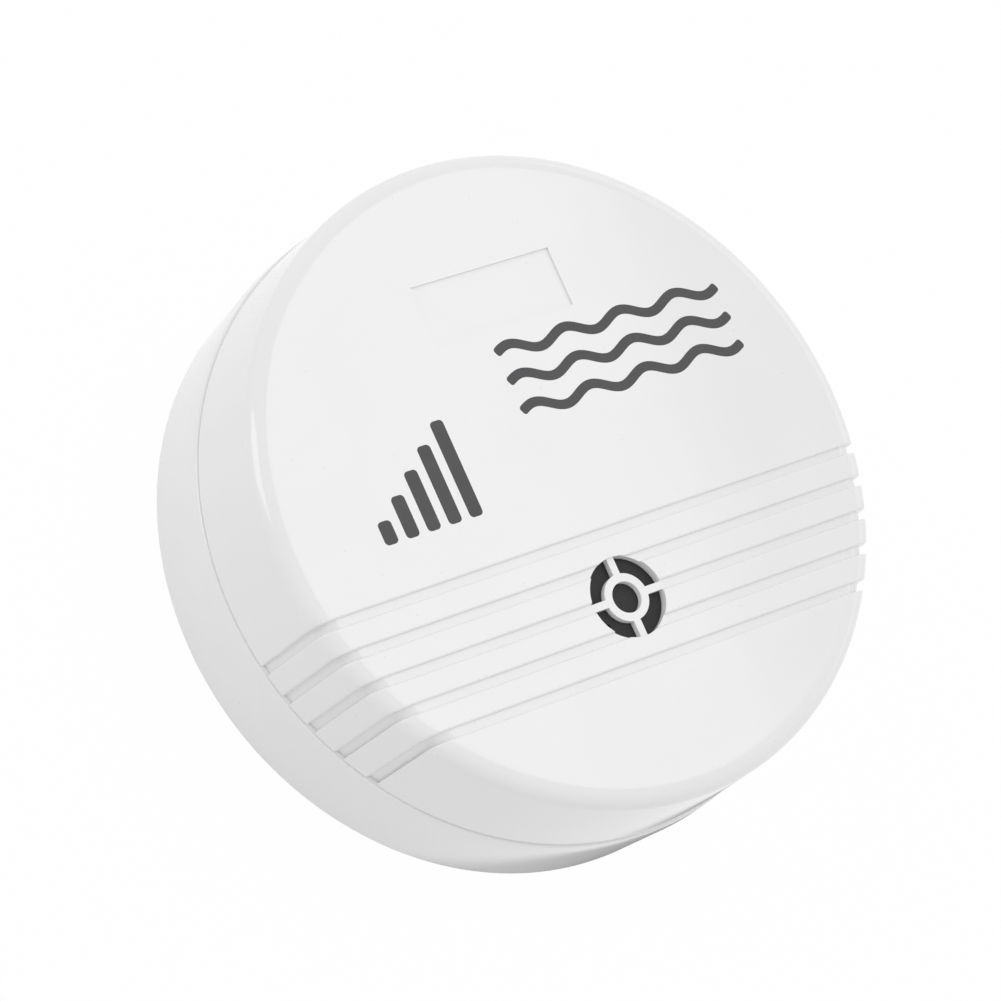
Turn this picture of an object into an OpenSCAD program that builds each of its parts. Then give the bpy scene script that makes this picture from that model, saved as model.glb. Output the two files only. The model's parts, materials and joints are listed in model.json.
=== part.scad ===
// Round battery-powered water leak alarm that stands on its sensing studs.
// Millimetres. +Z leaves the flat face, +X runs along the grooves, +Y points at the label recess.
// The origin is on the floor, under the middle of the case.

/* [Cover] */
// Outer radius of the cover at the seam
cover_r = 42.5; // [42:0.5:50]
// Height of the cover, from the seam to its flat face
cover_h = 14.9; // [14:0.1:22]
// How far the cover's wall leans in between the seam and the shoulder
cover_draft = 0.3; // [0.1:0.1:0.8]
// Width of the shoulder, seen from above
shoulder_w = 2.6; // [1.5:0.1:3.2]
// Slope of the band between the flat face and the rounded edge
shoulder_slope = 12; // [5:1:20]
// Radius of the rounded edge between that band and the wall
shoulder_r = 1.7; // [1:0.1:2.2]
// Thickness of the cover's side wall
cover_wall = 2; // [1.6:0.1:2.4]
// Thickness of the cover's face
face_t = 2; // [1.5:0.1:3]
// Thickness of the face over the buzzer
sound_t = 1.2; // [1:0.1:1.5]

/* [Face] */
// How many grooves cross the face
groove_count = 5; // [3:2:7]
// Distance between neighbouring grooves
groove_pitch = 4.16; // [3.6:0.02:4.6]
// Width of a groove
groove_w = 1.15; // [0.6:0.05:1.6]
// Depth of a groove in the face
groove_depth = 0.35; // [0.2:0.05:0.7]
// Depth of a groove in the side
groove_side = 0.5; // [0.2:0.05:0.7]
// Radius in which a groove's floor turns down the side
groove_round = 2.6; // [1:0.1:3]
// Distance from the middle of the face to the first groove
groove_first = 8.37; // [7:0.01:9]
// Radius of the sound opening
grille_r = 5.2; // [4.2:0.1:6]
// Outer radius of the ring inside the sound opening
grille_ring_r = 3.05; // [2.4:0.05:3.4]
// Radius of the hole in that ring
grille_bore_r = 2; // [1:0.05:2.2]
// Width of the spokes that carry the ring
spoke_w = 1; // [0.6:0.05:1.6]
// Length of the label recess
label_l = 20.8; // [12:0.2:26]
// Width of the label recess
label_w = 7.8; // [4:0.2:9]
// Depth of the label recess
label_depth = 0.25; // [0.1:0.05:0.5]
// Distance from the middle of the face to the middle of the label recess
label_y = 23.6; // [20:0.1:26]

/* [Base] */
// Height of the base, from its underside to the seam
base_h = 14.2; // [14:0.1:18]
// How far the base's parting line stands outside the cover
rim_proud = 0.35; // [0.2:0.05:0.8]
// Height of the band above the parting line
rim_band = 2.7; // [0.6:0.1:4]
// How far that band leans in towards the seam
rim_lean = 0.1; // [0.05:0.05:0.4]
// How far the base narrows from the parting line to its underside
base_taper = 0.55; // [0.2:0.05:1.2]
// Radius of the edge round the underside
base_edge_r = 1; // [0.4:0.1:2]
// Thickness of the floor
floor_t = 2.4; // [2.2:0.1:3.5]
// Shadow gap at the seam
seam_gap = 0.2; // [0.1:0.05:0.5]
// Thickness of the lip that centres the cover
lip_t = 1; // [0.8:0.1:1.6]
// Height of that lip
lip_h = 2; // [1:0.1:3]
// Wall of the cover outside the lip
lip_skirt = 1; // [0.9:0.05:1.3]
// Clearance between the lip and the cover
lip_clear = 0.15; // [0.05:0.05:0.3]

/* [Battery] */
// Length of the battery's jacket
battery_l = 46.2; // [45:0.1:46.5]
// Width of the battery
battery_w = 26.5; // [25.5:0.1:26.5]
// Thickness of the battery
battery_h = 17.5; // [16.9:0.1:17.5]
// Thickness of the jacket's sheet
jacket_t = 0.4; // [0.2:0.05:0.45]
// Radius of one cell
cell_r = 4.1; // [3.6:0.05:4.1]
// Gap between neighbouring cells
cell_gap = 0.1; // [0.05:0.05:0.15]
// Thickness of the plate that carries the terminals
end_plate_t = 1.2; // [0.8:0.1:2]
// Distance between the terminals
terminal_pitch = 12.7; // [12.5:0.1:12.9]
// Height of the terminals
terminal_h = 2.3; // [1.8:0.1:2.6]
// Radius of the plain terminal
terminal_r = 2.9; // [2.6:0.05:3]
// Radius of the cup-shaped terminal
terminal_cup_r = 4.2; // [3.8:0.05:4.5]
// Clearance between a terminal and its snap contact
snap_clear = 0.12; // [0.05:0.01:0.2]
// Wall of a snap contact
snap_wall = 0.8; // [0.5:0.1:1]
// Thickness of the snap connector
snap_t = 2.5; // [1.5:0.1:3]
// Length of the snap connector
snap_l = 25; // [23:0.5:26]
// Width of the snap connector
snap_w = 12.5; // [11:0.5:14]

/* [Battery box] */
// Distance from the middle of the case to the middle of the battery box
box_y = 11.85; // [11.4:0.05:12]
// Clearance around the battery
box_clear = 0.4; // [0.2:0.05:0.5]
// Room for the leads behind the snap connector
lead_room = 1.4; // [1:0.1:1.6]
// Thickness of the box's walls
box_wall = 2; // [1.6:0.1:2]
// Thickness of the box's roof
box_roof = 1.5; // [1:0.1:2]
// Width of the ledge that the door closes against
ledge_w = 1; // [0.6:0.1:1]
// Gap around the door
door_gap = 0.3; // [0.25:0.05:0.4]
// Thickness of the door
door_t = 2.2; // [1.8:0.1:2.2]
// Radius of the door's hinge pins
hinge_pin_r = 0.65; // [0.5:0.05:0.7]
// Length of the hinge pins
hinge_pin_l = 1.5; // [1:0.1:2]
// Running clearance of the hinge pins
hinge_clear = 0.05; // [0.02:0.01:0.1]
// Length of the latch tongue
tongue_l = 12; // [8:0.5:16]
// Width of the latch tongue
tongue_w = 11; // [8:0.5:16]
// Width of the slots beside the tongue
tongue_slot = 1; // [0.6:0.1:1.5]
// Height of the catch at the tongue's end
catch_h = 0.15; // [0.05:0.05:0.2]
// Radius of the finger scoop beside the latch
scoop_r = 4.6; // [3:0.1:4.8]
// Depth of the finger scoop
scoop_depth = 1.2; // [0.6:0.1:1.4]
// Thickness of the foam pad on the door
pad_t = 0.9; // [0.5:0.1:1.5]
// Length of the foam pad
pad_l = 30; // [20:1:36]
// Width of the foam pad
pad_w = 18; // [10:1:22]
// Gap between the foam pad and the battery
pad_gap = 0.3; // [0.1:0.05:0.5]

/* [Sensing studs] */
// Angle of the studs from the X axis
stud_angle = 30; // [28:1:32]
// Distance from the base's inner wall to the studs
stud_inset = 3.4; // [3.2:0.1:4]
// Radius of a stud's head
stud_head_r = 3; // [2.4:0.1:3]
// Height of a stud's head below the base
stud_head_h = 1; // [0.6:0.1:2]
// Bevel round a stud's head
stud_bevel = 0.4; // [0.2:0.05:0.5]
// Radius of a stud's shank
stud_r = 1.5; // [1:0.1:1.6]
// Clearance of the shanks and screws in their holes
hole_clear = 0.1; // [0.05:0.05:0.2]
// How far a shank stands out of its nut
stud_tip = 1.6; // [0.5:0.1:3]
// Width of a nut across its flats
nut_af = 5.5; // [5:0.1:5.8]
// Height of a nut
nut_h = 2.4; // [1.6:0.1:3]
// Thickness of a solder lug
lug_t = 0.5; // [0.3:0.1:0.8]
// Length of a lug's tail, from the middle of the stud
lug_l = 6; // [5:0.5:7]
// Width of a lug's tail
lug_w = 2.4; // [1.5:0.1:3]

/* [Fasteners] */
// Angle of the case screws from the X axis
screw_angle = 70; // [68:1:72]
// Distance from the base's inner wall to the case screws
screw_inset = 4.35; // [4.2:0.05:5]
// Radius of a case screw's shank
screw_r = 1.4; // [1:0.1:1.5]
// Length of a case screw's shank
screw_l = 12; // [10:0.5:14]
// Radius of a case screw's head
screw_head_r = 2.75; // [2.2:0.05:2.8]
// Height of a case screw's head
screw_head_h = 2; // [1.4:0.1:2.4]
// Clearance round a head in its counterbore
head_clear = 0.35; // [0.2:0.05:0.4]
// Depth of the counterbores in the underside
counterbore = 6; // [4:0.5:7]
// Wall of the screw bosses
boss_wall = 0.8; // [0.7:0.1:1]
// Wall of the cover's bosses round the screws
pilot_wall = 1.5; // [1:0.1:1.8]
// Height at which the bosses meet, below the seam
boss_drop = 1; // [0.5:0.1:2]

/* [Buzzer] */
// Radius of the buzzer
buzzer_r = 11.5; // [11:0.1:11.6]
// Height of the buzzer
buzzer_h = 9; // [8:0.1:9.4]
// Wall of the buzzer's case
buzzer_wall = 1.2; // [0.8:0.1:1.5]
// Radius of the sound port in the buzzer's face
port_r = 0.45; // [0.3:0.05:0.6]
// Distance from the middle of the buzzer to the sound port
port_offset = 4.6; // [3.8:0.1:4.7]
// Direction of the sound port, between two spokes
port_angle = 215; // [205:5:245]
// Depth of the sound chamber in front of the plate
chamber_h = 3; // [2:0.1:4]
// Width of the seat that clamps the plate's edge
plate_seat = 1.2; // [0.8:0.1:1.6]
// Thickness of the brass plate
plate_t = 0.3; // [0.2:0.05:0.5]
// Thickness of the ceramic disc
ceramic_t = 0.25; // [0.15:0.05:0.4]
// Radius of the ceramic disc
ceramic_r = 6.8; // [5.4:0.1:7]
// Clearance between the buzzer's case and what it holds
buzzer_clear = 0.1; // [0.05:0.05:0.2]
// Wall of the collar that holds the buzzer
collar_wall = 1.2; // [0.8:0.1:1.2]
// Height of that collar
collar_h = 3.9; // [2:0.1:4]
// Clearance between the collar and the buzzer
collar_clear = 0.15; // [0.05:0.05:0.2]

/* [Circuit board] */
// Length of the board
board_l = 44; // [42:0.5:46]
// Width of the board
board_w = 23; // [22.5:0.1:23.5]
// Thickness of the board
board_t = 1.6; // [1:0.1:2]
// Gap between the board and the battery box
board_gap = 1.2; // [0.6:0.1:1.4]
// Height of the posts under the board
post_h = 4; // [3:0.1:5]
// Radius of the posts
post_r = 2.4; // [2:0.1:2.6]
// Distance from the board's edges to the posts
post_inset = 3; // [2.8:0.1:3.4]
// Radius of a board screw's shank
board_screw_r = 0.8; // [0.6:0.05:1]
// Length of a board screw's shank
board_screw_l = 4.6; // [3:0.1:5]
// Radius of a board screw's head
board_screw_head_r = 1.7; // [1.4:0.05:1.8]
// Height of a board screw's head
board_screw_head_h = 1.2; // [0.8:0.1:1.5]
// Radius of the leads' insulation
wire_r = 0.55; // [0.4:0.05:0.7]

/* [Hidden] */
$fn = 96;

// Overshoot of cuts, so that no skin is left
cut = 1;

// Heights of the case
z_under = stud_head_h;
z_floor = z_under + floor_t;
z_seam = z_under + base_h;
z_rim = z_seam - seam_gap;
z_face = z_seam + cover_h;
z_ceiling = z_face - face_t;
z_sound = z_face - sound_t;
z_join = z_rim - boss_drop;

// Radii of the case
shoulder_top_r = cover_r - cover_draft;
arc_x = shoulder_top_r - shoulder_r;
band_x = arc_x + shoulder_r * sin(shoulder_slope);
face_r = shoulder_top_r - shoulder_w;
z_band = z_face - (band_x - face_r) * tan(shoulder_slope);
z_arc = z_band - shoulder_r * cos(shoulder_slope);
groove_arc_x = shoulder_top_r - groove_side - groove_round;
z_groove_arc = z_face - groove_depth - groove_round;
cover_in_r = shoulder_top_r - cover_wall;
rim_r = cover_r + rim_proud;
rim_top_r = rim_r - rim_lean;
under_r = rim_r - base_taper;
skirt_in_r = cover_r - lip_skirt;
lip_r = skirt_in_r - lip_clear;
base_in_r = lip_r - lip_t;

// Grooves and sound opening
groove_ys = [for (i = [0 : groove_count - 1]) -groove_first - i * groove_pitch];
grille_y = groove_ys[floor(groove_count / 2)];

// Battery and its box
battery_z = z_floor - (floor_t - door_t) + pad_t + pad_gap;
battery_mid_z = battery_z + battery_h / 2;
box_l = battery_l + terminal_h + snap_clear + snap_t + lead_room + 2 * box_clear;
box_w = battery_w + 2 * box_clear;
box_top = battery_z + battery_h + box_clear;
battery_x1 = box_l / 2 - box_clear;
battery_x0 = battery_x1 - battery_l;
snap_face_x = battery_x0 - terminal_h - snap_clear;
terminal_ys = [box_y - terminal_pitch / 2, box_y + terminal_pitch / 2];
cell_pitch = 2 * cell_r + cell_gap;
cell_l = battery_l - 2 * jacket_t - end_plate_t - cell_gap;
cell_x = battery_x0 + end_plate_t + cell_gap;

// Door
door_hole_l = box_l + 2 * ledge_w;
door_hole_w = box_w + 2 * ledge_w;
door_l = door_hole_l - 2 * door_gap;
door_w = door_hole_w - 2 * door_gap;
hinge_r = door_t / 2;
hinge_x = door_l / 2 - hinge_r;
hinge_z = z_under + hinge_r;
pad_x = tongue_l / 4;
grip_w = 0.8;
grip_depth = 0.4;
grip_pitch = 2;
grip_count = 4;
grip_margin = 1;

// Studs, screws and posts
stud_circle = base_in_r - stud_inset;
stud_x = stud_circle * cos(stud_angle);
stud_y = stud_circle * sin(stud_angle);
stud_spots = [for (sx = [1, -1], sy = [1, -1]) [sx * stud_x, sy * stud_y]];
lug_turn_back = -90;
lug_turn_front = 45;
screw_circle = base_in_r - screw_inset;
screw_spots = [for (sx = [1, -1], sy = [1, -1])
               [sx * screw_circle * cos(screw_angle), sy * screw_circle * sin(screw_angle)]];
z_counterbore = z_under + counterbore;
boss_r = screw_head_r + head_clear + boss_wall;
pilot_r = screw_r + hole_clear / 2;
head_crown = 0.8;
cross_reach = 0.6;
cross_half_w = 0.13;
z_nut = z_floor + lug_t;

// Board and what stands on it
board_y1 = box_y - box_w / 2 - box_wall - board_gap;
board_y0 = board_y1 - board_w;
board_z = z_floor + post_h;
board_top = board_z + board_t;
screw_post_x = board_l / 2 - post_inset;
screw_post_y = board_y1 - post_inset;
rest_post_x = 12;
rest_post_y = board_y0 + post_inset;
chip_l = 9.6;
chip_w = 6.4;
chip_h = 3.3;
chip_lift = 0.6;
chip_x = -8;
chip_row = 9;
chip_y = board_y1 - chip_row;
pin_pitch = 2.54;
pin_w = 0.5;
pin_t = 0.25;
pin_reach = 0.8;
transistor_r = 2.3;
transistor_h = 4.6;
transistor_lift = 2.2;
transistor_x = 4;
transistor_row = 5;
transistor_y = board_y1 - transistor_row;
transistor_leg_pitch = 1.3;
transistor_leg_back = 0.3;
coil_r = 4.2;
coil_h = 8;
coil_core_r = 2;
coil_flange = 1.2;
coil_winding_r = 3.8;
coil_x = 13.5;
coil_row = 9;
coil_y = board_y0 + coil_row;
cap_r = 3.1;
cap_h = 7;
cap_edge = 0.5;
cap_x = -15;
cap_row = 5.5;
cap_y = board_y0 + cap_row;
resistor_r = 1.1;
resistor_waist_r = 0.95;
resistor_l = 6;
resistor_lift = 0.4;
resistor_x = 3.5;
resistor_row = 9;
resistor_pitch = 3.5;
back_resistor_x = 10.5;
back_resistor_row = 4.5;
resistor_spots = [[resistor_x, board_y0 + resistor_row],
                  [resistor_x, board_y0 + resistor_row + resistor_pitch],
                  [back_resistor_x, board_y1 - back_resistor_row]];
disc_r = 2.2;
disc_t = 1.6;
disc_lift = 1;
disc_row = 3.2;
disc_xs = [-2.5, 5];
disc_spots = [for (x = disc_xs) [x, board_y0 + disc_row]];
bend_out = 1.2;
lead_r = 0.25;
lead_gap = 0.1;

// Buzzer
z_buzzer = z_sound - buzzer_h;
buzzer_in_r = buzzer_r - buzzer_wall;
z_plate = z_sound - buzzer_wall - chamber_h;
back_r = buzzer_in_r - buzzer_clear;
collar_r = buzzer_r + collar_clear;
buzzer_lead_ys = [7.6, -4.5];
buzzer_lead_hole_r = wire_r + hole_clear;

// Routes of the leads, ends tied to what they join
joint_inset = 1.7;
joint_x = board_l / 2 - joint_inset;
lead_y = box_y - snap_l / 2;
lead_x = snap_face_x - snap_t / 2;
slot_w = 4;
slot_h = 7;
lead_spread = 1.5;
lug_joint_inset = 1;
lead_end_z = board_top + lead_gap;
red_route = [[lead_x, lead_y - lead_gap, battery_mid_z + lead_spread],
             [lead_x, lead_y - 2, battery_mid_z + lead_spread],
             [-23.8, -6, 14], [-22.6, -10, 12.4], [-joint_x, -12.6, 11.5], [-joint_x, -13, 10.2],
             [-joint_x, -13, lead_end_z]];
black_route = [[lead_x, lead_y - lead_gap, battery_mid_z - lead_spread],
               [lead_x, lead_y - 2, battery_mid_z - lead_spread],
               [-24.6, -6.4, 11.4], [-23.8, -12, 11.2], [-joint_x, -15.8, 11.2], [-joint_x, -16.2, 10.2],
               [-joint_x, -16.2, lead_end_z]];
lug_reach = lug_l - lug_joint_inset;
lug_end_back = [stud_x, stud_y - lug_reach];
lug_end_front = [stud_x - lug_reach * sin(lug_turn_front), -stud_y - lug_reach * cos(lug_turn_front)];
lug_top = z_floor + lug_t + 2 * lead_gap;
back_right_route = [[lug_end_back.x, lug_end_back.y, lug_top],
                    [lug_end_back.x, lug_end_back.y - 0.3, lug_top + 1.4], [32.6, 8, 6.4], [32.6, 0, 7],
                    [29.6, -6, 9.5], [23.5, -10, 11.4], [joint_x, -12.2, 11.4], [joint_x, -12.5, 10.2],
                    [joint_x, -12.5, lead_end_z]];
back_left_route = [[-lug_end_back.x, lug_end_back.y, lug_top],
                   [-lug_end_back.x, lug_end_back.y - 0.3, lug_top + 1.4], [-32.8, 8, 6.2], [-33, 0, 6.4],
                   [-31, -8, 8.2], [-26.6, -15, 10.6], [-joint_x, -19.6, 11.4], [-joint_x, -20, 10.2],
                   [-joint_x, -20, lead_end_z]];
front_route = [[lug_end_front.x, lug_end_front.y, lug_top],
               [lug_end_front.x - 0.2, lug_end_front.y - 0.2, lug_top + 1.4], [26.4, -24.2, 8],
               [23.6, -24.8, 11], [joint_x, -24.9, 11.4], [joint_x, -25, 10.2], [joint_x, -25, lead_end_z]];
buzzer_route_plate = [[0, buzzer_lead_ys[0], z_plate - plate_t - lead_gap],
                      [0, buzzer_lead_ys[0], z_buzzer], [0.8, 7, 15], [0.6, 6.6, 12],
                      [0, 6.4, 10.2], [0, 6.4, lead_end_z]];
buzzer_route_ceramic = [[0, buzzer_lead_ys[1], z_plate - plate_t - ceramic_t - lead_gap],
                        [0, buzzer_lead_ys[1], z_buzzer], [-0.8, -5, 15], [-0.8, -5.4, 12],
                        [0, -5.6, 10.2], [0, -5.6, lead_end_z]];
wire_sides = 8;
wire_steps = 3;

// A lead: a round tube swept along a smooth curve through the route's points
function unit(v) = v / norm(v);
function blend(a, b, c, d, t) =
    0.5 * (2 * b + (c - a) * t + (2 * a - 5 * b + 4 * c - d) * t * t + (3 * b - a - 3 * c + d) * t * t * t);
function smooth_route(p) =
    let (last = len(p) - 1)
    concat([for (i = [0 : last - 1], k = [0 : wire_steps - 1])
            blend(p[max(i - 1, 0)], p[i], p[i + 1], p[min(i + 2, last)], k / wire_steps)], [p[last]]);
function heading(q, i) = unit(q[min(i + 1, len(q) - 1)] - q[max(i - 1, 0)]);
module wire(route, across, r = wire_r) {
    q = smooth_route(route);
    last = len(q) - 1;
    points = [for (i = [0 : last])
              let (t = heading(q, i), u = unit(cross(t, across)), v = cross(t, u))
              for (k = [0 : wire_sides - 1])
              let (a = 360 * k / wire_sides) q[i] + r * (u * cos(a) + v * sin(a))];
    function at(i, k) = i * wire_sides + k % wire_sides;
    sides = [for (i = [0 : last - 1], k = [0 : wire_sides - 1], half = [0, 1])
             half == 0 ? [at(i, k), at(i + 1, k), at(i, k + 1)]
                       : [at(i, k + 1), at(i + 1, k), at(i + 1, k + 1)]];
    caps = [for (k = [1 : wire_sides - 2], end = [0, 1])
            end == 0 ? [at(0, 0), at(0, k), at(0, k + 1)] : [at(last, 0), at(last, k + 1), at(last, k)]];
    polyhedron(points, concat(sides, caps));
}

// The cover's outer form: a leaning wall, a rounded edge and a sloping band round the flat face
module cover_form() {
    rotate_extrude() {
        polygon([[0, z_seam], [cover_r, z_seam], [shoulder_top_r, z_arc], [0, z_arc]]);
        polygon([[0, z_arc], [arc_x, z_arc], [band_x, z_band], [face_r, z_face], [0, z_face]]);
        translate([arc_x, z_arc]) circle(shoulder_r);
    }
}

// The smaller form that the grooves are sunk to
module groove_form() {
    rotate_extrude() {
        polygon([[0, z_seam - 2 * groove_side], [cover_r - groove_side, z_seam - 2 * groove_side],
                 [cover_r - groove_side, z_seam], [groove_arc_x + groove_round, z_groove_arc],
                 [0, z_groove_arc]]);
        translate([0, z_groove_arc]) square([groove_arc_x, groove_round]);
        translate([groove_arc_x, z_groove_arc]) circle(groove_round);
    }
}

// The stretch outside that form that one groove takes away
module groove(y) {
    difference() {
        translate([-cover_r - cut, y - groove_w / 2, z_seam - groove_side])
            cube([2 * (cover_r + cut), groove_w, cover_h + cut + groove_side]);
        groove_form();
    }
}

// Four openings between spokes, the ring's hole and the sunk floor that the grooves run into
module sound_opening() {
    translate([0, grille_y, 0]) {
        translate([0, 0, z_face - groove_depth]) cylinder(h = groove_depth + cut, r = grille_r);
        translate([0, 0, z_ceiling - cut]) {
            cylinder(h = face_t + cut, r = grille_bore_r);
            difference() {
                cylinder(h = face_t + cut, r = grille_r);
                translate([0, 0, -cut]) cylinder(h = face_t + 3 * cut, r = grille_ring_r);
                for (turn = [0, 90])
                    rotate(turn) translate([-grille_r - cut, -spoke_w / 2, -cut])
                        cube([2 * (grille_r + cut), spoke_w, face_t + 3 * cut]);
            }
        }
    }
}

module top_cover() {
    color("white") difference() {
        union() {
            difference() {
                cover_form();
                translate([0, 0, z_seam - cut]) cylinder(h = z_ceiling - z_seam + cut, r = cover_in_r);
            }
            for (p = screw_spots)
                translate([p.x, p.y, z_join]) cylinder(h = z_ceiling - z_join, r = pilot_r + pilot_wall);
            translate([0, grille_y, z_ceiling - collar_h])
                cylinder(h = collar_h, r = collar_r + collar_wall);
        }
        translate([0, 0, z_seam - cut])
            difference() {
                cylinder(h = lip_h + cut, r = skirt_in_r);
                cylinder(h = lip_h + cut, r = base_in_r - lip_clear);
            }
        translate([0, grille_y, z_ceiling - collar_h - cut])
            cylinder(h = z_sound - z_ceiling + collar_h + cut, r = collar_r);
        for (p = screw_spots)
            translate([p.x, p.y, z_join - cut])
                cylinder(h = z_counterbore + screw_l - z_join + 2 * cut, r = pilot_r);
        for (y = groove_ys) groove(y);
        sound_opening();
        translate([-label_l / 2, label_y - label_w / 2, z_face - label_depth]) cube([label_l, label_w, cut]);
    }
}

module base_form() {
    rotate_extrude() {
        polygon([[0, z_under], [under_r - base_edge_r, z_under], [under_r, z_under + base_edge_r],
                 [rim_r, z_rim - rim_band], [rim_top_r, z_rim], [0, z_rim]]);
        translate([under_r - base_edge_r, z_under + base_edge_r]) circle(base_edge_r);
    }
}

module base_shell() {
    color("white") difference() {
        union() {
            difference() {
                union() {
                    base_form();
                    cylinder(h = z_rim + lip_h - lip_clear, r = lip_r);
                }
                translate([0, 0, z_floor]) cylinder(h = base_h + lip_h, r = base_in_r);
                translate([0, 0, -cut]) cylinder(h = z_under + cut, r = rim_r);
            }
            for (p = screw_spots) translate([p.x, p.y, z_under]) cylinder(h = z_join - z_under, r = boss_r);
            for (x = [-screw_post_x, screw_post_x])
                translate([x, screw_post_y, z_under]) cylinder(h = board_z - z_under, r = post_r);
            for (x = [-rest_post_x, rest_post_x])
                translate([x, rest_post_y, z_under]) cylinder(h = board_z - z_under, r = post_r);
            translate([-box_l / 2 - box_wall, box_y - box_w / 2 - box_wall, z_under])
                cube([box_l + 2 * box_wall, box_w + 2 * box_wall, box_top + box_roof - z_under]);
        }
        translate([-box_l / 2, box_y - box_w / 2, z_under]) cube([box_l, box_w, box_top - z_under]);
        translate([-door_hole_l / 2, box_y - door_hole_w / 2, z_under - cut])
            cube([door_hole_l, door_hole_w, floor_t + cut]);
        for (side = [-1, 1])
            translate([hinge_x, box_y + side * door_hole_w / 2, hinge_z])
                rotate([-side * 90, 0, 0]) translate([0, 0, -ledge_w])
                    cylinder(h = hinge_pin_l + ledge_w, r = hinge_pin_r + hinge_clear);
        translate([-door_hole_l / 2, box_y, z_under - cut]) cylinder(h = scoop_depth + cut, r = scoop_r);
        for (p = screw_spots)
            translate([p.x, p.y, z_under - cut]) {
                cylinder(h = counterbore + cut, r = screw_head_r + head_clear);
                cylinder(h = z_join - z_under + 2 * cut, r = screw_r + hole_clear);
            }
        for (p = stud_spots)
            translate([p.x, p.y, z_under - cut]) cylinder(h = floor_t + 2 * cut, r = stud_r + hole_clear);
        for (x = [-screw_post_x, screw_post_x])
            translate([x, screw_post_y, z_floor])
                cylinder(h = post_h + cut, r = board_screw_r + hole_clear / 2);
        translate([lead_x - slot_w / 2, box_y - box_w / 2 - box_wall - cut, battery_mid_z - slot_h / 2])
            cube([slot_w, box_wall + 2 * cut, slot_h]);
    }
}

module battery_door() {
    color("white") difference() {
        union() {
            translate([-door_l / 2, box_y - door_w / 2, z_under])
                cube([hinge_x + door_l / 2, door_w, door_t]);
            translate([hinge_x, box_y - door_w / 2, hinge_z])
                rotate([-90, 0, 0]) cylinder(h = door_w, r = hinge_r);
            translate([hinge_x, box_y - door_w / 2 - hinge_pin_l, hinge_z])
                rotate([-90, 0, 0]) cylinder(h = door_w + 2 * hinge_pin_l, r = hinge_pin_r);
            translate([-door_l / 2 - catch_h, box_y - tongue_w / 4, z_under + door_t / 2])
                cube([catch_h + cut, tongue_w / 2, door_t / 4]);
        }
        for (side = [-1, 1])
            translate([-door_l / 2 - cut, box_y + side * (tongue_w + tongue_slot) / 2, z_under - cut])
                translate([0, -tongue_slot / 2, 0]) cube([tongue_l + cut, tongue_slot, door_t + 2 * cut]);
        for (i = [1 : grip_count])
            translate([-door_l / 2 + i * grip_pitch - grip_w / 2, box_y - tongue_w / 2 + grip_margin,
                       z_under - cut])
                cube([grip_w, tongue_w - 2 * grip_margin, grip_depth + cut]);
    }
}

module door_pad() {
    color("dimgray") translate([pad_x - pad_l / 2, box_y - pad_w / 2, z_under + door_t])
        cube([pad_l, pad_w, pad_t]);
}

// A cross-head screw that points up, with the underside of its head at z = 0
module cross_screw(shank_r, shank_l, head_r, head_h) {
    cylinder(h = shank_l, r = shank_r);
    difference() {
        translate([0, 0, -head_h]) {
            cylinder(h = head_h / 2, r1 = head_r * head_crown, r2 = head_r);
            translate([0, 0, head_h / 2]) cylinder(h = head_h / 2, r = head_r);
        }
        for (turn = [0, 90])
            rotate(turn) translate([-head_r * cross_reach, -head_r * cross_half_w, -head_h - cut])
                cube([2 * head_r * cross_reach, 2 * head_r * cross_half_w, head_h / 2 + cut]);
    }
}

module case_screws() {
    color("silver") for (p = screw_spots)
        translate([p.x, p.y, z_counterbore]) cross_screw(screw_r, screw_l, screw_head_r, screw_head_h);
}

module circuit_board() {
    color("seagreen") difference() {
        translate([-board_l / 2, board_y0, board_z]) cube([board_l, board_w, board_t]);
        for (x = [-screw_post_x, screw_post_x])
            translate([x, screw_post_y, board_z - cut])
                cylinder(h = board_t + 2 * cut, r = board_screw_r + 2 * hole_clear);
    }
}

module board_screws() {
    color("silver") for (x = [-screw_post_x, screw_post_x])
        translate([x, screw_post_y, board_top]) rotate([180, 0, 0])
            cross_screw(board_screw_r, board_screw_l, board_screw_head_r, board_screw_head_h);
}

module alarm_chip() {
    color("#202020") difference() {
        translate([chip_x - chip_l / 2, chip_y - chip_w / 2, board_top + chip_lift])
            cube([chip_l, chip_w, chip_h]);
        translate([chip_x - chip_l / 2, chip_y, board_top + chip_lift + chip_h / 2])
            cylinder(h = chip_h, r = chip_w / 8);
    }
}

module chip_pins() {
    color("silver") for (side = [-1, 1], i = [-1.5 : 1.5])
        translate([chip_x + i * pin_pitch, chip_y, board_top]) rotate(side > 0 ? 0 : 180)
            translate([-pin_w / 2, chip_w / 2, 0]) {
                translate([0, 0, chip_lift + chip_h / 2]) cube([pin_w, pin_reach, pin_t]);
                translate([0, pin_reach - pin_t, 0]) cube([pin_w, pin_t, chip_lift + chip_h / 2 + pin_t]);
            }
}

module drive_transistor() {
    color("#202020") translate([transistor_x, transistor_y, board_top + transistor_lift]) difference() {
        cylinder(h = transistor_h, r = transistor_r);
        translate([-transistor_r - cut, transistor_r / 2, -cut])
            cube([2 * (transistor_r + cut), transistor_r, transistor_h + 2 * cut]);
    }
}

module coil_core() {
    color("#3a3a3c") translate([coil_x, coil_y, board_top]) {
        cylinder(h = coil_flange, r = coil_r);
        cylinder(h = coil_h, r = coil_core_r);
        translate([0, 0, coil_h - coil_flange]) cylinder(h = coil_flange, r = coil_r);
    }
}

module coil_winding() {
    color("peru") translate([coil_x, coil_y, board_top + coil_flange + lead_gap / 2]) difference() {
        cylinder(h = coil_h - 2 * coil_flange - lead_gap, r = coil_winding_r);
        translate([0, 0, -cut]) cylinder(h = coil_h, r = coil_core_r + lead_gap / 2);
    }
}

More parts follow.
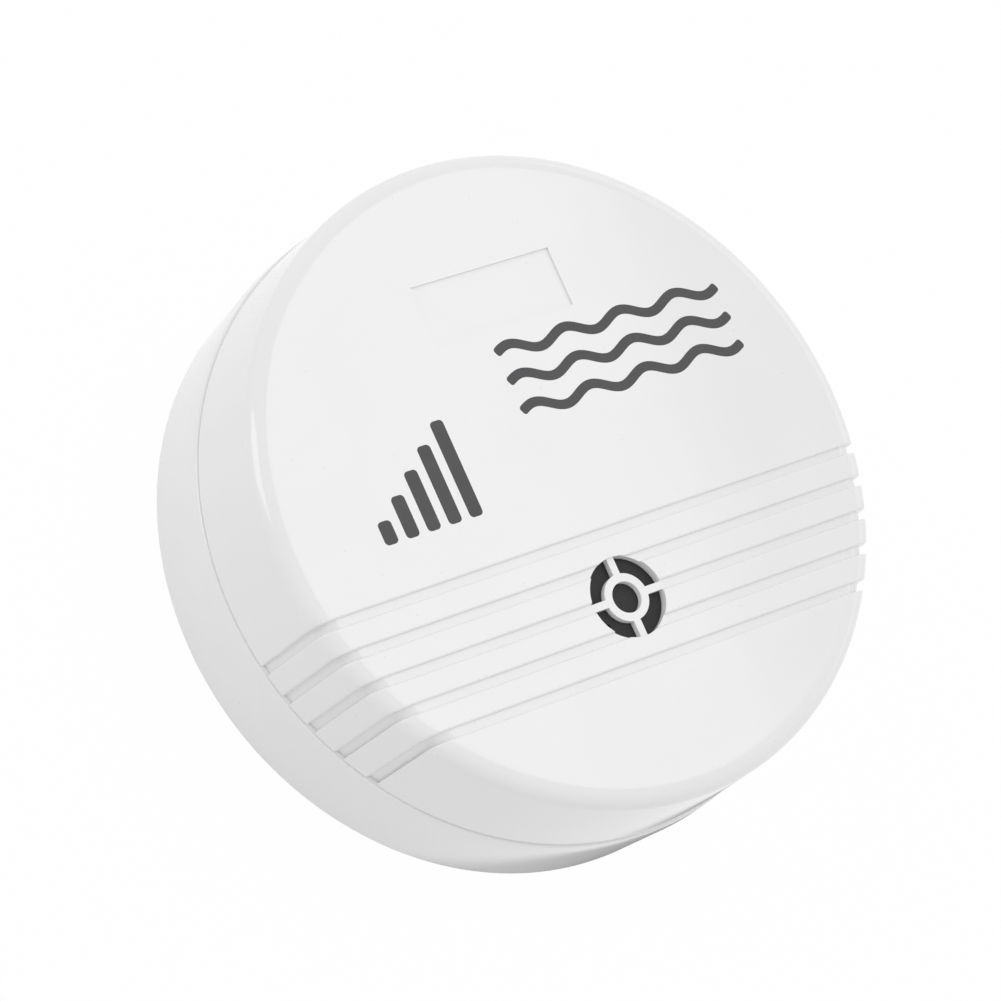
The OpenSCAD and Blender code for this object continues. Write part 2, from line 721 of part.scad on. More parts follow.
module smoothing_capacitor() {
    color("#20284a") translate([cap_x, cap_y, board_top]) {
        cylinder(h = cap_edge, r1 = cap_r - cap_edge / 2, r2 = cap_r);
        translate([0, 0, cap_edge]) cylinder(h = cap_h - 2 * cap_edge, r = cap_r);
        translate([0, 0, cap_h - cap_edge]) cylinder(h = cap_edge, r1 = cap_r, r2 = cap_r - cap_edge);
    }
}

module resistors() {
    color("tan") for (p = resistor_spots)
        translate([p.x - resistor_l / 2, p.y, board_top + resistor_lift + resistor_r]) rotate([0, 90, 0]) {
            cylinder(h = resistor_l, r = resistor_waist_r);
            cylinder(h = resistor_l / 4, r = resistor_r);
            translate([0, 0, resistor_l * 3 / 4]) cylinder(h = resistor_l / 4, r = resistor_r);
        }
}

module disc_capacitors() {
    color("chocolate") for (p = disc_spots)
        translate([p.x, p.y + disc_t / 2, board_top + disc_lift + disc_r])
            rotate([90, 0, 0]) cylinder(h = disc_t, r = disc_r);
}

// An upright leg under a part that stands clear of the board
module leg(x, y, h) {
    translate([x, y, board_top]) cylinder(h = h, r = lead_r);
}

module component_leads() {
    color("silver") {
        for (i = [-1 : 1]) leg(transistor_x + i * transistor_leg_pitch, transistor_y - transistor_leg_back,
                              transistor_lift);
        for (p = disc_spots, s = [-1, 1]) leg(p.x + s * disc_r / 3, p.y, disc_lift);
        for (p = resistor_spots, s = [-1, 1])
            translate([p.x + s * resistor_l / 2, p.y, board_top]) {
                translate([0, 0, resistor_lift + resistor_r])
                    rotate([0, s * 90, 0]) cylinder(h = bend_out, r = lead_r);
                translate([s * bend_out, 0, 0]) cylinder(h = resistor_lift + resistor_r + lead_r, r = lead_r);
            }
    }
}

module buzzer_case() {
    color("#333333") translate([0, grille_y, 0]) difference() {
        translate([0, 0, z_buzzer]) cylinder(h = buzzer_h, r = buzzer_r);
        translate([0, 0, z_buzzer - cut]) cylinder(h = z_plate - z_buzzer + cut, r = buzzer_in_r);
        translate([0, 0, z_plate - cut]) cylinder(h = chamber_h + cut, r = buzzer_in_r - plate_seat);
        rotate(port_angle) translate([port_offset, 0, z_plate])
            cylinder(h = chamber_h + buzzer_wall + cut, r = port_r);
    }
}

module buzzer_back() {
    color("#333333") translate([0, grille_y, 0]) difference() {
        translate([0, 0, z_buzzer]) cylinder(h = z_plate - plate_t - z_buzzer, r = back_r);
        translate([0, 0, z_buzzer + buzzer_wall])
            cylinder(h = z_plate - z_buzzer, r = buzzer_in_r - plate_seat);
        for (y = buzzer_lead_ys)
            translate([0, y, z_buzzer - cut]) cylinder(h = buzzer_wall + 2 * cut, r = buzzer_lead_hole_r);
    }
}

module piezo_plate() {
    color("gold") translate([0, grille_y, z_plate - plate_t]) cylinder(h = plate_t, r = back_r);
}

module piezo_ceramic() {
    color("ivory") translate([0, grille_y, z_plate - plate_t - ceramic_t])
        cylinder(h = ceramic_t, r = ceramic_r);
}

module buzzer_leads() {
    color("firebrick") translate([0, grille_y, 0]) {
        wire(buzzer_route_plate, [1, 0, 0]);
        wire(buzzer_route_ceramic, [1, 0, 0]);
    }
}

module battery_jacket() {
    color("gray") difference() {
        translate([battery_x0, box_y - battery_w / 2, battery_z]) cube([battery_l, battery_w, battery_h]);
        translate([battery_x0 - cut, box_y - battery_w / 2 + jacket_t, battery_z + jacket_t])
            cube([battery_l - jacket_t + cut, battery_w - 2 * jacket_t, battery_h - 2 * jacket_t]);
    }
}

module battery_cells() {
    color("darkgray") for (iy = [-1 : 1], iz = [-0.5, 0.5])
        translate([cell_x, box_y + iy * cell_pitch, battery_mid_z + iz * cell_pitch])
            rotate([0, 90, 0]) cylinder(h = cell_l, r = cell_r);
}

module battery_end_plate() {
    color("#262626") translate([battery_x0, box_y - battery_w / 2 + jacket_t, battery_z + jacket_t])
        cube([end_plate_t, battery_w - 2 * jacket_t, battery_h - 2 * jacket_t]);
}

module battery_terminals() {
    color("silver") {
        translate([battery_x0, terminal_ys[0], battery_mid_z])
            rotate([0, -90, 0]) cylinder(h = terminal_h, r = terminal_r);
        translate([battery_x0, terminal_ys[1], battery_mid_z]) rotate([0, -90, 0]) difference() {
            cylinder(h = terminal_h, r = terminal_cup_r);
            translate([0, 0, terminal_h / 4]) cylinder(h = terminal_h, r = terminal_r + snap_clear);
        }
    }
}

module battery_snap() {
    color("#1c1c1c") translate([snap_face_x - snap_t, box_y - snap_l / 2, battery_mid_z - snap_w / 2])
        cube([snap_t, snap_l, snap_w]);
}

module snap_contacts() {
    color("silver") {
        translate([snap_face_x, terminal_ys[0], battery_mid_z]) rotate([0, 90, 0]) difference() {
            cylinder(h = terminal_h, r = terminal_r + snap_clear + snap_wall);
            translate([0, 0, -cut]) cylinder(h = terminal_h + 2 * cut, r = terminal_r + snap_clear);
        }
        translate([snap_face_x, terminal_ys[1], battery_mid_z])
            rotate([0, 90, 0]) cylinder(h = terminal_h / 2, r = terminal_r);
    }
}

module battery_lead_red() {
    color("red") wire(red_route, [1, 0, 0.2]);
}

module battery_lead_black() {
    color("black") wire(black_route, [1, 0, 0.2]);
}

module probe_studs() {
    color("lightgray") for (p = stud_spots) translate([p.x, p.y, 0]) {
        cylinder(h = stud_bevel, r1 = stud_head_r - stud_bevel, r2 = stud_head_r);
        translate([0, 0, stud_bevel]) cylinder(h = stud_head_h - stud_bevel, r = stud_head_r);
        cylinder(h = z_nut + nut_h + stud_tip, r = stud_r);
    }
}

module probe_nuts() {
    color("silver") for (p = stud_spots) translate([p.x, p.y, z_nut]) difference() {
        cylinder(h = nut_h, d = nut_af / cos(30), $fn = 6);
        translate([0, 0, -cut]) cylinder(h = nut_h + 2 * cut, r = stud_r + hole_clear / 2);
    }
}

module probe_lugs() {
    color("silver") for (p = stud_spots)
        translate([p.x, p.y, z_floor]) difference() {
            union() {
                cylinder(h = lug_t, r = nut_af / 2);
                rotate(p.y > 0 ? lug_turn_back : sign(p.x) * -lug_turn_front - 90)
                    translate([0, -lug_w / 2, 0]) cube([lug_l, lug_w, lug_t]);
            }
            translate([0, 0, -cut]) cylinder(h = lug_t + 2 * cut, r = stud_r + hole_clear);
        }
}

module probe_leads() {
    color("blue") {
        wire(back_right_route, [1, 0.2, 0.1]);
        wire(back_left_route, [1, -0.2, 0.1]);
        wire(front_route, [0.3, 1, 0.1]);
        mirror([1, 0, 0]) wire(front_route, [0.3, 1, 0.1]);
    }
}

top_cover();
base_shell();
battery_door();
door_pad();
case_screws();
circuit_board();
board_screws();
alarm_chip();
chip_pins();
drive_transistor();
coil_core();
coil_winding();
smoothing_capacitor();
resistors();
disc_capacitors();
component_leads();
buzzer_case();
buzzer_back();
piezo_plate();
piezo_ceramic();
buzzer_leads();
battery_jacket();
battery_cells();
battery_end_plate();
battery_terminals();
battery_snap();
snap_contacts();
battery_lead_red();
battery_lead_black();
probe_studs();
probe_nuts();
probe_lugs();
probe_leads();
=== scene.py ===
"""Looks of a round, battery-powered water leak alarm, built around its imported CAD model.

The case is two white ABS mouldings with a seam between them. Metres, in the CAD model's own frame:
+Z leaves the flat face, +X runs along the grooves, +Y points at the label recess.
"""

import json
import math

import bmesh
import bpy
from bpy.props import FloatProperty, FloatVectorProperty, IntProperty, PointerProperty
from mathutils import Matrix, Quaternion, Vector


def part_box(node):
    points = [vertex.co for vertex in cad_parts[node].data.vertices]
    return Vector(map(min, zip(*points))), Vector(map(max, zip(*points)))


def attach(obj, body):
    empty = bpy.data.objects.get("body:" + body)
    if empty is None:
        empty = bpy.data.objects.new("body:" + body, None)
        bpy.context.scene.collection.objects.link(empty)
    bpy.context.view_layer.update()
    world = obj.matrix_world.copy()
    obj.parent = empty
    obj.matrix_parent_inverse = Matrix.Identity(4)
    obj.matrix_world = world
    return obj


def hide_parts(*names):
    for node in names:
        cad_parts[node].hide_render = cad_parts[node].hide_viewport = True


bl_info = {
    "name": "Water leak alarm",
    "version": (1, 0, 0),
    "blender": (4, 5, 0),
    "location": "View3D > Sidebar > Leak alarm",
    "description": "Builds the case, door, battery and finishes of a round water leak alarm",
    "category": "Add Mesh",
}

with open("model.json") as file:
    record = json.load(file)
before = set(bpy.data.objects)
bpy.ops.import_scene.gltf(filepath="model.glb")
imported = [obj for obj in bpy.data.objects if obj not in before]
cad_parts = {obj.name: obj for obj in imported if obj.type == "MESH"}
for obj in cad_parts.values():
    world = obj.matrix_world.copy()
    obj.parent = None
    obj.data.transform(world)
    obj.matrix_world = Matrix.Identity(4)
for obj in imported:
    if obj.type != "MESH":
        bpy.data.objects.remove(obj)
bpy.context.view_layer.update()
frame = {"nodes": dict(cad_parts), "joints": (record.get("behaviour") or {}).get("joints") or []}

MM = 0.001

# What the frame gives
COVER_LOW, COVER_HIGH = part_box("top_cover")
BASE_LOW, BASE_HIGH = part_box("base_shell")
DOOR_LOW, DOOR_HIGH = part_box("battery_door")
PAD_LOW, PAD_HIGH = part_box("door_pad")
CAN_LOW, CAN_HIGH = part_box("battery_jacket")
PLATE_LOW, PLATE_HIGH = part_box("battery_end_plate")
SNAP_LOW, SNAP_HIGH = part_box("battery_snap")
STUD_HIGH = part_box("probe_studs")[1]
SCREW_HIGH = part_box("case_screws")[1]
BUZZER_LOW, BUZZER_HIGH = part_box("buzzer_case")
BOARD_LOW, BOARD_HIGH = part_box("circuit_board")

COVER_R = COVER_HIGH.x
FACE_Z = COVER_HIGH.z
JOIN_Z = COVER_LOW.z
SOUND_Z = BUZZER_HIGH.z
UNDER_Z = BASE_LOW.z
RIM_R = BASE_HIGH.x
STUD_R = 3.0 * MM
STUD_X = STUD_HIGH.x - STUD_R
STUD_Y = STUD_HIGH.y - STUD_R
SCREW_HEAD_R = 2.75 * MM
SCREW_X = SCREW_HIGH.x - SCREW_HEAD_R
SCREW_Y = SCREW_HIGH.y - SCREW_HEAD_R
SCREW_SPOTS = [(sx * SCREW_X, sy * SCREW_Y) for sx in (1, -1) for sy in (1, -1)]
STUD_SPOTS = [(sx * STUD_X, sy * STUD_Y) for sx in (1, -1) for sy in (1, -1)]
HINGE_X, BOX_Y, HINGE_Z = frame["joints"][0]["pos_m"]

# Overshoot of cuts
CUT = 1 * MM

# How near points lie that are welded, on one line, on one level, or on the face's rims
WELD = 0.0001 * MM
NEAR = 0.001 * MM
LEVEL = 0.01 * MM
RIM = 0.05 * MM

# Turns of a flat face, a sharp edge and a square edge, and the normal's Z of a ceiling
FLAT = math.radians(0.05)
SHARP = math.radians(40)
SQUARE = math.radians(60)
DOWNWARD = -0.999

# Air between the two shells behind the seam
SEAM_CLEAR = 0.02 * MM

# How finely the round forms are divided
GROOVE_STEPS = 2
LAND_STEPS = 3
BACK_STEPS = 96
FRONT_STEPS = 48
SHOULDER_STEPS = 10
BASE_STEPS = 192
OPENING_STEPS = 76
COLLAR_STEPS = 96
COUNTERBORE_STEPS = 64
HOLE_STEPS = 32
PIN_STEPS = 24
SOFT_STEPS = 5
CORNER_STEPS = 6

# Radii of the ceiling's rings, as shares of the inner wall's
CEILING_RINGS = (0.75, 0.5, 0.3)

# Finishes that several pieces share
WHITE_ABS = "ABS moulded white"
BLACK_PLASTIC = "Black moulded plastic"


def linear(hex_code):
    """Turns a written sRGB colour into the linear one that shaders take."""
    parts = [int(hex_code[i : i + 2], 16) / 255 for i in (1, 3, 5)]
    return [c / 12.92 if c <= 0.04045 else ((c + 0.055) / 1.055) ** 2.4 for c in parts]


def length(name, description, millimetres):
    """A size that a user may change, written in millimetres and kept in metres."""
    return FloatProperty(
        name=name, description=description, default=millimetres * MM, min=0, unit="LENGTH", precision=5
    )


def colour(name, description, hex_code):
    """A colour that a user may change."""
    return FloatVectorProperty(
        name=name, description=description, default=linear(hex_code), size=3, min=0, max=1, subtype="COLOR"
    )


class LeakCaseSizes(bpy.types.PropertyGroup):
    """Sizes of the case."""

    cover_height: length("Cover height", "From the seam to the flat face", 14.9)
    cover_lean: length("Cover lean", "How far the cover's wall leans in up to the shoulder", 0.3)
    cover_wall: length("Cover wall", "Thickness of the cover's side wall", 2)
    face_thickness: length("Face thickness", "Thickness of the cover's face", 2)
    shoulder_width: length("Shoulder width", "Width of the shoulder, seen from above", 2.6)
    shoulder_slope: FloatProperty(
        name="Shoulder slope",
        description="Slope of the band between the flat face and the rounded edge",
        default=math.radians(12),
        min=0,
        subtype="ANGLE",
    )
    shoulder_radius: length("Shoulder radius", "Radius of the edge between that band and the wall", 1.7)
    groove_count: IntProperty(name="Grooves", description="How many grooves cross the face", default=5, min=1)
    groove_pitch: length("Groove pitch", "Distance between neighbouring grooves", 4.16)
    groove_width: length("Groove width", "Width of a groove", 1.15)
    groove_depth: length("Groove depth", "Depth of a groove in the face", 0.35)
    groove_side: length("Groove side", "Depth of a groove in the side", 0.5)
    groove_round: length("Groove round", "Radius in which a groove's floor turns down the side", 2.6)
    first_groove: length("First groove", "From the middle of the face to the first groove", 8.37)
    opening_radius: length("Sound opening", "Radius of the sound opening", 5.2)
    ring_radius: length("Ring", "Outer radius of the ring in the sound opening", 3.05)
    bore_radius: length("Ring hole", "Radius of the ring's hole", 2)
    spoke_width: length("Spokes", "Width of the spokes that hold the ring", 1)
    label_length: length("Label length", "Length of the label recess", 20.8)
    label_width: length("Label width", "Width of the label recess", 7.8)
    label_depth: length("Label depth", "Depth of the label recess", 0.25)
    label_place: length("Label place", "From the middle of the face to the middle of the recess", 23.6)
    seam_gap: length("Seam gap", "Shadow gap between cover and base", 0.2)
    seam_depth: length("Seam depth", "Depth of that gap, behind which the shells meet", 0.16)
    rim_band: length("Rim band", "Height of the band above the base's parting line", 2.7)
    rim_lean: length("Rim lean", "How far that band leans in towards the seam", 0.1)
    base_taper: length("Base taper", "How far the base narrows towards its underside", 0.55)
    base_edge: length("Base edge", "Radius of the edge round the underside", 1)
    floor: length("Floor", "Thickness of the base's floor", 2.4)
    lip: length("Lip", "Thickness of the lip that centres the cover", 1)
    lip_height: length("Lip height", "Height of that lip", 2)
    lip_skirt: length("Lip skirt", "Wall of the cover outside the lip", 1)
    lip_clearance: length("Lip clearance", "Clearance between lip and cover", 0.15)
    rim_round: length("Rim rounding", "Rounding of the rim's edge at the seam", 0.32)
    edge_round: length("Edge rounding", "Rounding of the grooves' brinks, the door and the holes", 0.25)
    fine_round: length("Fine rounding", "Rounding of the edges of the label recess and the ring", 0.12)


class LeakPrintSizes(bpy.types.PropertyGroup):
    """Sizes of the printed signs on the face."""

    stroke: length("Stroke", "Width of a printed wave", 1.25)
    wave_length: length("Wave length", "Length of one printed wave", 8.6)
    wave_height: length("Wave height", "Height of a printed wave", 2.7)
    wave_pitch: length("Wave pitch", "Distance between the waves", 3.9)
    bar_width: length("Bar width", "Width of a printed bar", 1.9)
    bar_pitch: length("Bar pitch", "Distance between the bars", 3.1)
    film: length("Film", "How far the ink stands on the face", 0.006)


class LeakFinishes(bpy.types.PropertyGroup):
    """Colours of the finishes."""

    case_colour: colour("Case", "Moulded ABS of the case", "#EEEEEE")
    ink_colour: colour("Ink", "Printing ink on the face", "#454547")
    stud_colour: colour("Studs", "Nickel plating of the sensing studs", "#CFCAC0")
    battery_colour: colour("Battery", "Lacquer on the battery", "#3C3F43")
    foam_colour: colour("Foam", "Foam pad on the door", "#3A3A3C")


def add(tree, kind, inputs=None, **settings):
    """Adds a shader node; an input is a value or a socket to link."""
    node = tree.nodes.new("ShaderNode" + kind)
    for name, value in settings.items():
        setattr(node, name, value)
    for name, value in (inputs or {}).items():
        if isinstance(value, bpy.types.NodeSocket):
            tree.links.new(value, node.inputs[name])
        else:
            node.inputs[name].default_value = value
    return node


def per_mm(size):
    """Scale of a pattern whose features are this many millimetres wide."""
    return 1 / (size * MM)


def rgba(value):
    """A linear colour with full cover."""
    return (*value, 1)


def bare_tree(owner):
    """The emptied node tree of a material or a world."""
    owner.use_nodes = True
    owner.node_tree.nodes.clear()
    return owner.node_tree


def start_finish(name, **shader_inputs):
    """A new material with its shader, and Object coordinates for its patterns."""
    material = bpy.data.materials.new(name)
    tree = bare_tree(material)
    shader = add(tree, "BsdfPrincipled", shader_inputs)
    add(tree, "OutputMaterial", {"Surface": shader.outputs["BSDF"]})
    place = add(tree, "TexCoord").outputs["Object"]
    return material, tree, shader, place


def noise(tree, place, size, detail, **inputs):
    """A noise whose features are this many millimetres wide."""
    inputs |= {"Vector": place, "Scale": per_mm(size), "Detail": detail}
    return add(tree, "TexNoise", inputs).outputs["Fac"]


def between(tree, share, first, second):
    """A colour between two others."""
    return add(tree, "Mix", {0: share, 6: first, 7: second}, data_type="RGBA").outputs[2]


def spread(tree, value, low, high, first, second, **settings):
    """A value moved from one range to another."""
    ends = {"From Min": low, "From Max": high, "To Min": first, "To Max": second}
    return add(tree, "MapRange", {"Value": value, **ends}, **settings).outputs["Result"]


def relief(tree, height, depth, **inputs):
    """A bump with its depth in millimetres."""
    inputs = {"Strength": 1, "Height": height, "Distance": depth * MM, **inputs}
    return add(tree, "Bump", inputs).outputs["Normal"]


def moulded_abs(case_colour):
    """White ABS from a polished mould: a hard gloss, faint flow tones, fine ripple and a few dark specks."""
    material, tree, shader, place = start_finish(WHITE_ABS, IOR=1.53)
    shade = rgba([c * 0.975 for c in case_colour])
    tint = rgba([min(1, c * 1.015) for c in case_colour])
    tone = between(tree, noise(tree, place, 16, 3, Distortion=0.8), shade, tint)
    grit = add(tree, "TexVoronoi", {"Vector": place, "Scale": per_mm(2.2)}).outputs["Distance"]
    # Specks of about 0.1 mm, just wide enough to show in the render
    speck = spread(tree, grit, 0.045, 0.02, 0, 0.4)
    dusty = between(tree, speck, tone, rgba(linear("#9A958C")))
    gloss = spread(tree, noise(tree, place, 9, 5, Roughness=0.65), 0.3, 0.7, 0.08, 0.115)
    ripple = relief(tree, noise(tree, place, 0.7, 2), 0.0012, Strength=0.6)
    bend = relief(tree, noise(tree, place, 26, 1), 0.03, Normal=ripple)
    tree.links.new(dusty, shader.inputs["Base Color"])
    tree.links.new(gloss, shader.inputs["Roughness"])
    tree.links.new(bend, shader.inputs["Normal"])
    return material


def grained(name, light, dark, grain, roughness, depth, metallic=0.0, **shader_inputs):
    """A finish with a grain: two tones, a varying gloss and a fine relief, in millimetres."""
    material, tree, shader, place = start_finish(name, Metallic=metallic, **shader_inputs)
    fine = noise(tree, place, grain, 4, Roughness=0.6)
    broad = noise(tree, place, grain * 12, 2)
    both = add(tree, "Math", {0: fine, 1: broad}, operation="ADD").outputs[0]
    tone = between(tree, spread(tree, both, 0.6, 1.4, 0, 1), rgba(dark), rgba(light))
    gloss = spread(tree, broad, 0.3, 0.7, roughness * 0.85, roughness * 1.15)
    tree.links.new(tone, shader.inputs["Base Color"])
    tree.links.new(gloss, shader.inputs["Roughness"])
    tree.links.new(relief(tree, fine, depth), shader.inputs["Normal"])
    return material


def banded(name, light, dark, period, direction, roughness, depth, metallic=0.0):
    """A finish with even bands, such as a wound wire, whose dark bands are painted shade between the turns,
    or printed rings, with the period in millimetres.
    """
    material, tree, shader, place = start_finish(name, Metallic=metallic, Roughness=roughness)
    # One wave of Blender's band texture is 2 pi / 20 of a unit long
    bands = add(
        tree,
        "TexWave",
        {"Vector": place, "Scale": per_mm(period) * math.pi / 10, "Distortion": 0.2},
        bands_direction=direction,
    ).outputs["Fac"]
    tree.links.new(between(tree, bands, rgba(dark), rgba(light)), shader.inputs["Base Color"])
    tree.links.new(relief(tree, bands, depth), shader.inputs["Normal"])
    return material


def block(low, high):
    """A box between two corners."""
    bm = bmesh.new()
    low, high = Vector(low), Vector(high)
    place = Matrix.Translation((low + high) / 2) @ Matrix.Diagonal((*(high - low), 1))
    bmesh.ops.create_cube(bm, size=1, matrix=place)
    return bm


def rod(start, end, radius, segments=48):
    """A cylinder between two points."""
    bm = bmesh.new()
    start, end = Vector(start), Vector(end)
    turn = (end - start).to_track_quat("Z", "Y").to_matrix().to_4x4()
    bmesh.ops.create_cone(
        bm,
        cap_ends=True,
        segments=segments,
        radius1=radius,
        radius2=radius,
        depth=(end - start).length,
        matrix=Matrix.Translation((start + end) / 2) @ turn,
    )
    return bm


def round_edges(bm, edges, width, segments=3, affect="EDGES"):
    """Rounds the chosen edges of a shape, or its corners."""
    bmesh.ops.bevel(
        bm,
        geom=list(edges),
        offset=width,
        offset_type="OFFSET",
        segments=segments,
        profile=0.5,
        affect=affect,
        clamp_overlap=True,
        material=-1,
    )


def sharp_edges(bm, turn):
    """The convex edges that turn by an angle or more."""
    return [e for e in bm.edges if e.is_convex and e.calc_face_angle(0) >= turn]


def edges_along(bm, axis):
    """The edges of a box that run along an axis."""
    return [e for e in bm.edges if abs(e.verts[0].co[axis] - e.verts[1].co[axis]) > CUT]


def gather(whole, bm):
    """Adds a shape to another as a loose part."""
    mesh = bpy.data.meshes.new("shape")
    bm.to_mesh(mesh)
    bm.free()
    whole.from_mesh(mesh)
    bpy.data.meshes.remove(mesh)


def mesh_object(bm, name="shape"):
    """An object in the scene with a finished shape."""
    mesh = bpy.data.meshes.new(name)
    bm.to_mesh(mesh)
    bm.free()
    item = bpy.data.objects.new(name, mesh)
    bpy.context.scene.collection.objects.link(item)
    return item


def combine(bm, joined, cut):
    """Joins some tools to a shape, then cuts others out of it, and merges the flat faces that this leaves."""
    shape = mesh_object(bm)
    helpers = []
    for operation, tools in (("UNION", joined), ("DIFFERENCE", cut)):
        for tool in tools:
            helpers.append(mesh_object(tool))
            change = shape.modifiers.new(operation, "BOOLEAN")
            change.operation = operation
            change.solver = "MANIFOLD"
            change.object = helpers[-1]
    result = bmesh.new()
    result.from_object(shape, bpy.context.evaluated_depsgraph_get())
    for used in [shape, *helpers]:
        bpy.data.meshes.remove(used.data)
    bmesh.ops.remove_doubles(result, verts=result.verts, dist=NEAR)
    result.normal_update()
    # Ceilings keep their parts, because one face can't run round several holes
    flat = [e for e in result.edges if not all(f.normal.z < DOWNWARD for f in e.link_faces)]
    bmesh.ops.dissolve_limit(result, angle_limit=FLAT, verts=[], edges=flat)
    return result


def place_piece(bm, name, finish, nodes=(), body="housing", sharp=SHARP):
    """Makes a piece of a finished shape: it rides on a body and stands for its CAD nodes."""
    bmesh.ops.remove_doubles(bm, verts=bm.verts, dist=WELD)
    bmesh.ops.dissolve_degenerate(bm, dist=WELD, edges=bm.edges)
    bmesh.ops.recalc_face_normals(bm, faces=bm.faces)
    for face in bm.faces:
        face.smooth = True
    for edge in bm.edges:
        edge.smooth = edge.calc_face_angle(0) < sharp
    piece = mesh_object(bm, name)
    piece.data.materials.append(finish)
    weigh = piece.modifiers.new("Weighted normals", "WEIGHTED_NORMAL")
    weigh.keep_sharp = True
    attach(piece, body)
    if nodes:
        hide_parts(*nodes)
    return piece


def extend(bm, ring, points):
    """Extrudes a closed ring of points to new places and returns the new ring in the same order."""
    edges = [bm.edges.get(pair) for pair in zip(ring, ring[1:] + ring[:1])]
    grown = bmesh.ops.extrude_edge_only(bm, edges=edges)["geom"]
    fresh = {g for g in grown if isinstance(g, bmesh.types.BMVert)}
    result = []
    for vert, point in zip(ring, points):
        new = next(e.other_vert(vert) for e in vert.link_edges if e.other_vert(vert) in fresh)
        new.co = point
        result.append(new)
    return result


def turned(rings):
    """A capped ring pulled out through the other rings, open at the last one."""
    bm = bmesh.new()
    ring = bmesh.ops.create_circle(bm, cap_ends=True, segments=len(rings[0]), radius=1)["verts"]
    for vert, point in zip(ring, rings[0]):
        vert.co = point
    for points in rings[1:]:
        ring = extend(bm, ring, points)
    return bm


def close(bm):
    """Closes a shape's open end and turns its faces outwards."""
    bmesh.ops.contextual_create(bm, geom=[e for e in bm.edges if e.is_boundary])
    bmesh.ops.recalc_face_normals(bm, faces=bm.faces)


def even_ring(radius, z, segments, centre=(0, 0)):
    """Points spread evenly on a level circle."""
    angles = [2 * math.pi * k / segments for k in range(segments)]
    return [
        Vector((centre[0] + radius * math.cos(a), centre[1] + radius * math.sin(a), z)) for a in angles
    ]


def seam_z(sizes):
    """Height of the seam: the cover's lower edge."""
    return FACE_Z - sizes.cover_height


def groove_places(sizes):
    """The Y of each groove's middle line."""
    return [-sizes.first_groove - i * sizes.groove_pitch for i in range(sizes.groove_count)]


def groove_lines(sizes):
    """The Y of each groove's two edges."""
    half = sizes.groove_width / 2
    return [y + side for y in groove_places(sizes) for side in (-half, half)]


def sound_y(sizes):
    """The Y of the sound opening, which lies on the middle groove."""
    return groove_places(sizes)[sizes.groove_count // 2]


def ceiling_z(sizes):
    """Height of the inside of the cover's face."""
    return FACE_Z - sizes.face_thickness


def arc_points(x, z, radius, turn, steps):
    """Radius and height of points on an arc, from a turn above level down to level."""
    turns = [turn * k / steps for k in range(steps, -1, -1)]
    return [(x + radius * math.cos(a), z + radius * math.sin(a)) for a in turns]


def foot_arc(radius, z, edge, steps):
    """Radius and height of points on the rounded lower edge of a turned shape."""
    turns = [math.pi / 2 * k / steps for k in range(steps + 1)]
    return [(radius - edge + edge * math.sin(a), z + edge - edge * math.cos(a)) for a in turns]


def face_radius(sizes):
    """Radius of the flat face."""
    return COVER_R - sizes.cover_lean - sizes.shoulder_width


def cover_profile(sizes):
    """Radius and height of the cover's rings: the face's edge, the rounded edge and the seam."""
    slope, rounding = sizes.shoulder_slope, sizes.shoulder_radius
    arc_x = COVER_R - sizes.cover_lean - rounding
    band = arc_x + rounding * math.sin(slope) - face_radius(sizes)
    arc_z = FACE_Z - band * math.tan(slope) - rounding * math.cos(slope)
    arc = arc_points(arc_x, arc_z, rounding, math.pi / 2 - slope, SHOULDER_STEPS)
    return [(face_radius(sizes), FACE_Z), *arc, (COVER_R, seam_z(sizes))]


def groove_profile(sizes):
    """The same rings on the grooves' floor, which turns down the side more gently."""
    rounding, side_r = sizes.groove_round, COVER_R - sizes.groove_side
    arc_x = side_r - sizes.cover_lean - rounding
    arc_z = FACE_Z - sizes.groove_depth - rounding
    return [*arc_points(arc_x, arc_z, rounding, math.pi / 2, SHOULDER_STEPS + 1), (side_r, seam_z(sizes))]


def grooved_ring(radius, z, sizes):
    """Points of one ring: those on the groove edges keep to the edges' planes, the rest lie between."""
    right = [math.asin(y / radius) for y in sorted(groove_lines(sizes))]
    stops = right + [math.pi - a for a in reversed(right)] + [right[0] + 2 * math.pi]
    flank = ([GROOVE_STEPS, LAND_STEPS] * sizes.groove_count)[:-1]
    angles = []
    for begin, end, steps in zip(stops, stops[1:], flank + [BACK_STEPS] + flank + [FRONT_STEPS]):
        angles += [begin + (end - begin) * k / steps for k in range(steps)]
    return [Vector((radius * math.cos(a), radius * math.sin(a), z)) for a in angles]


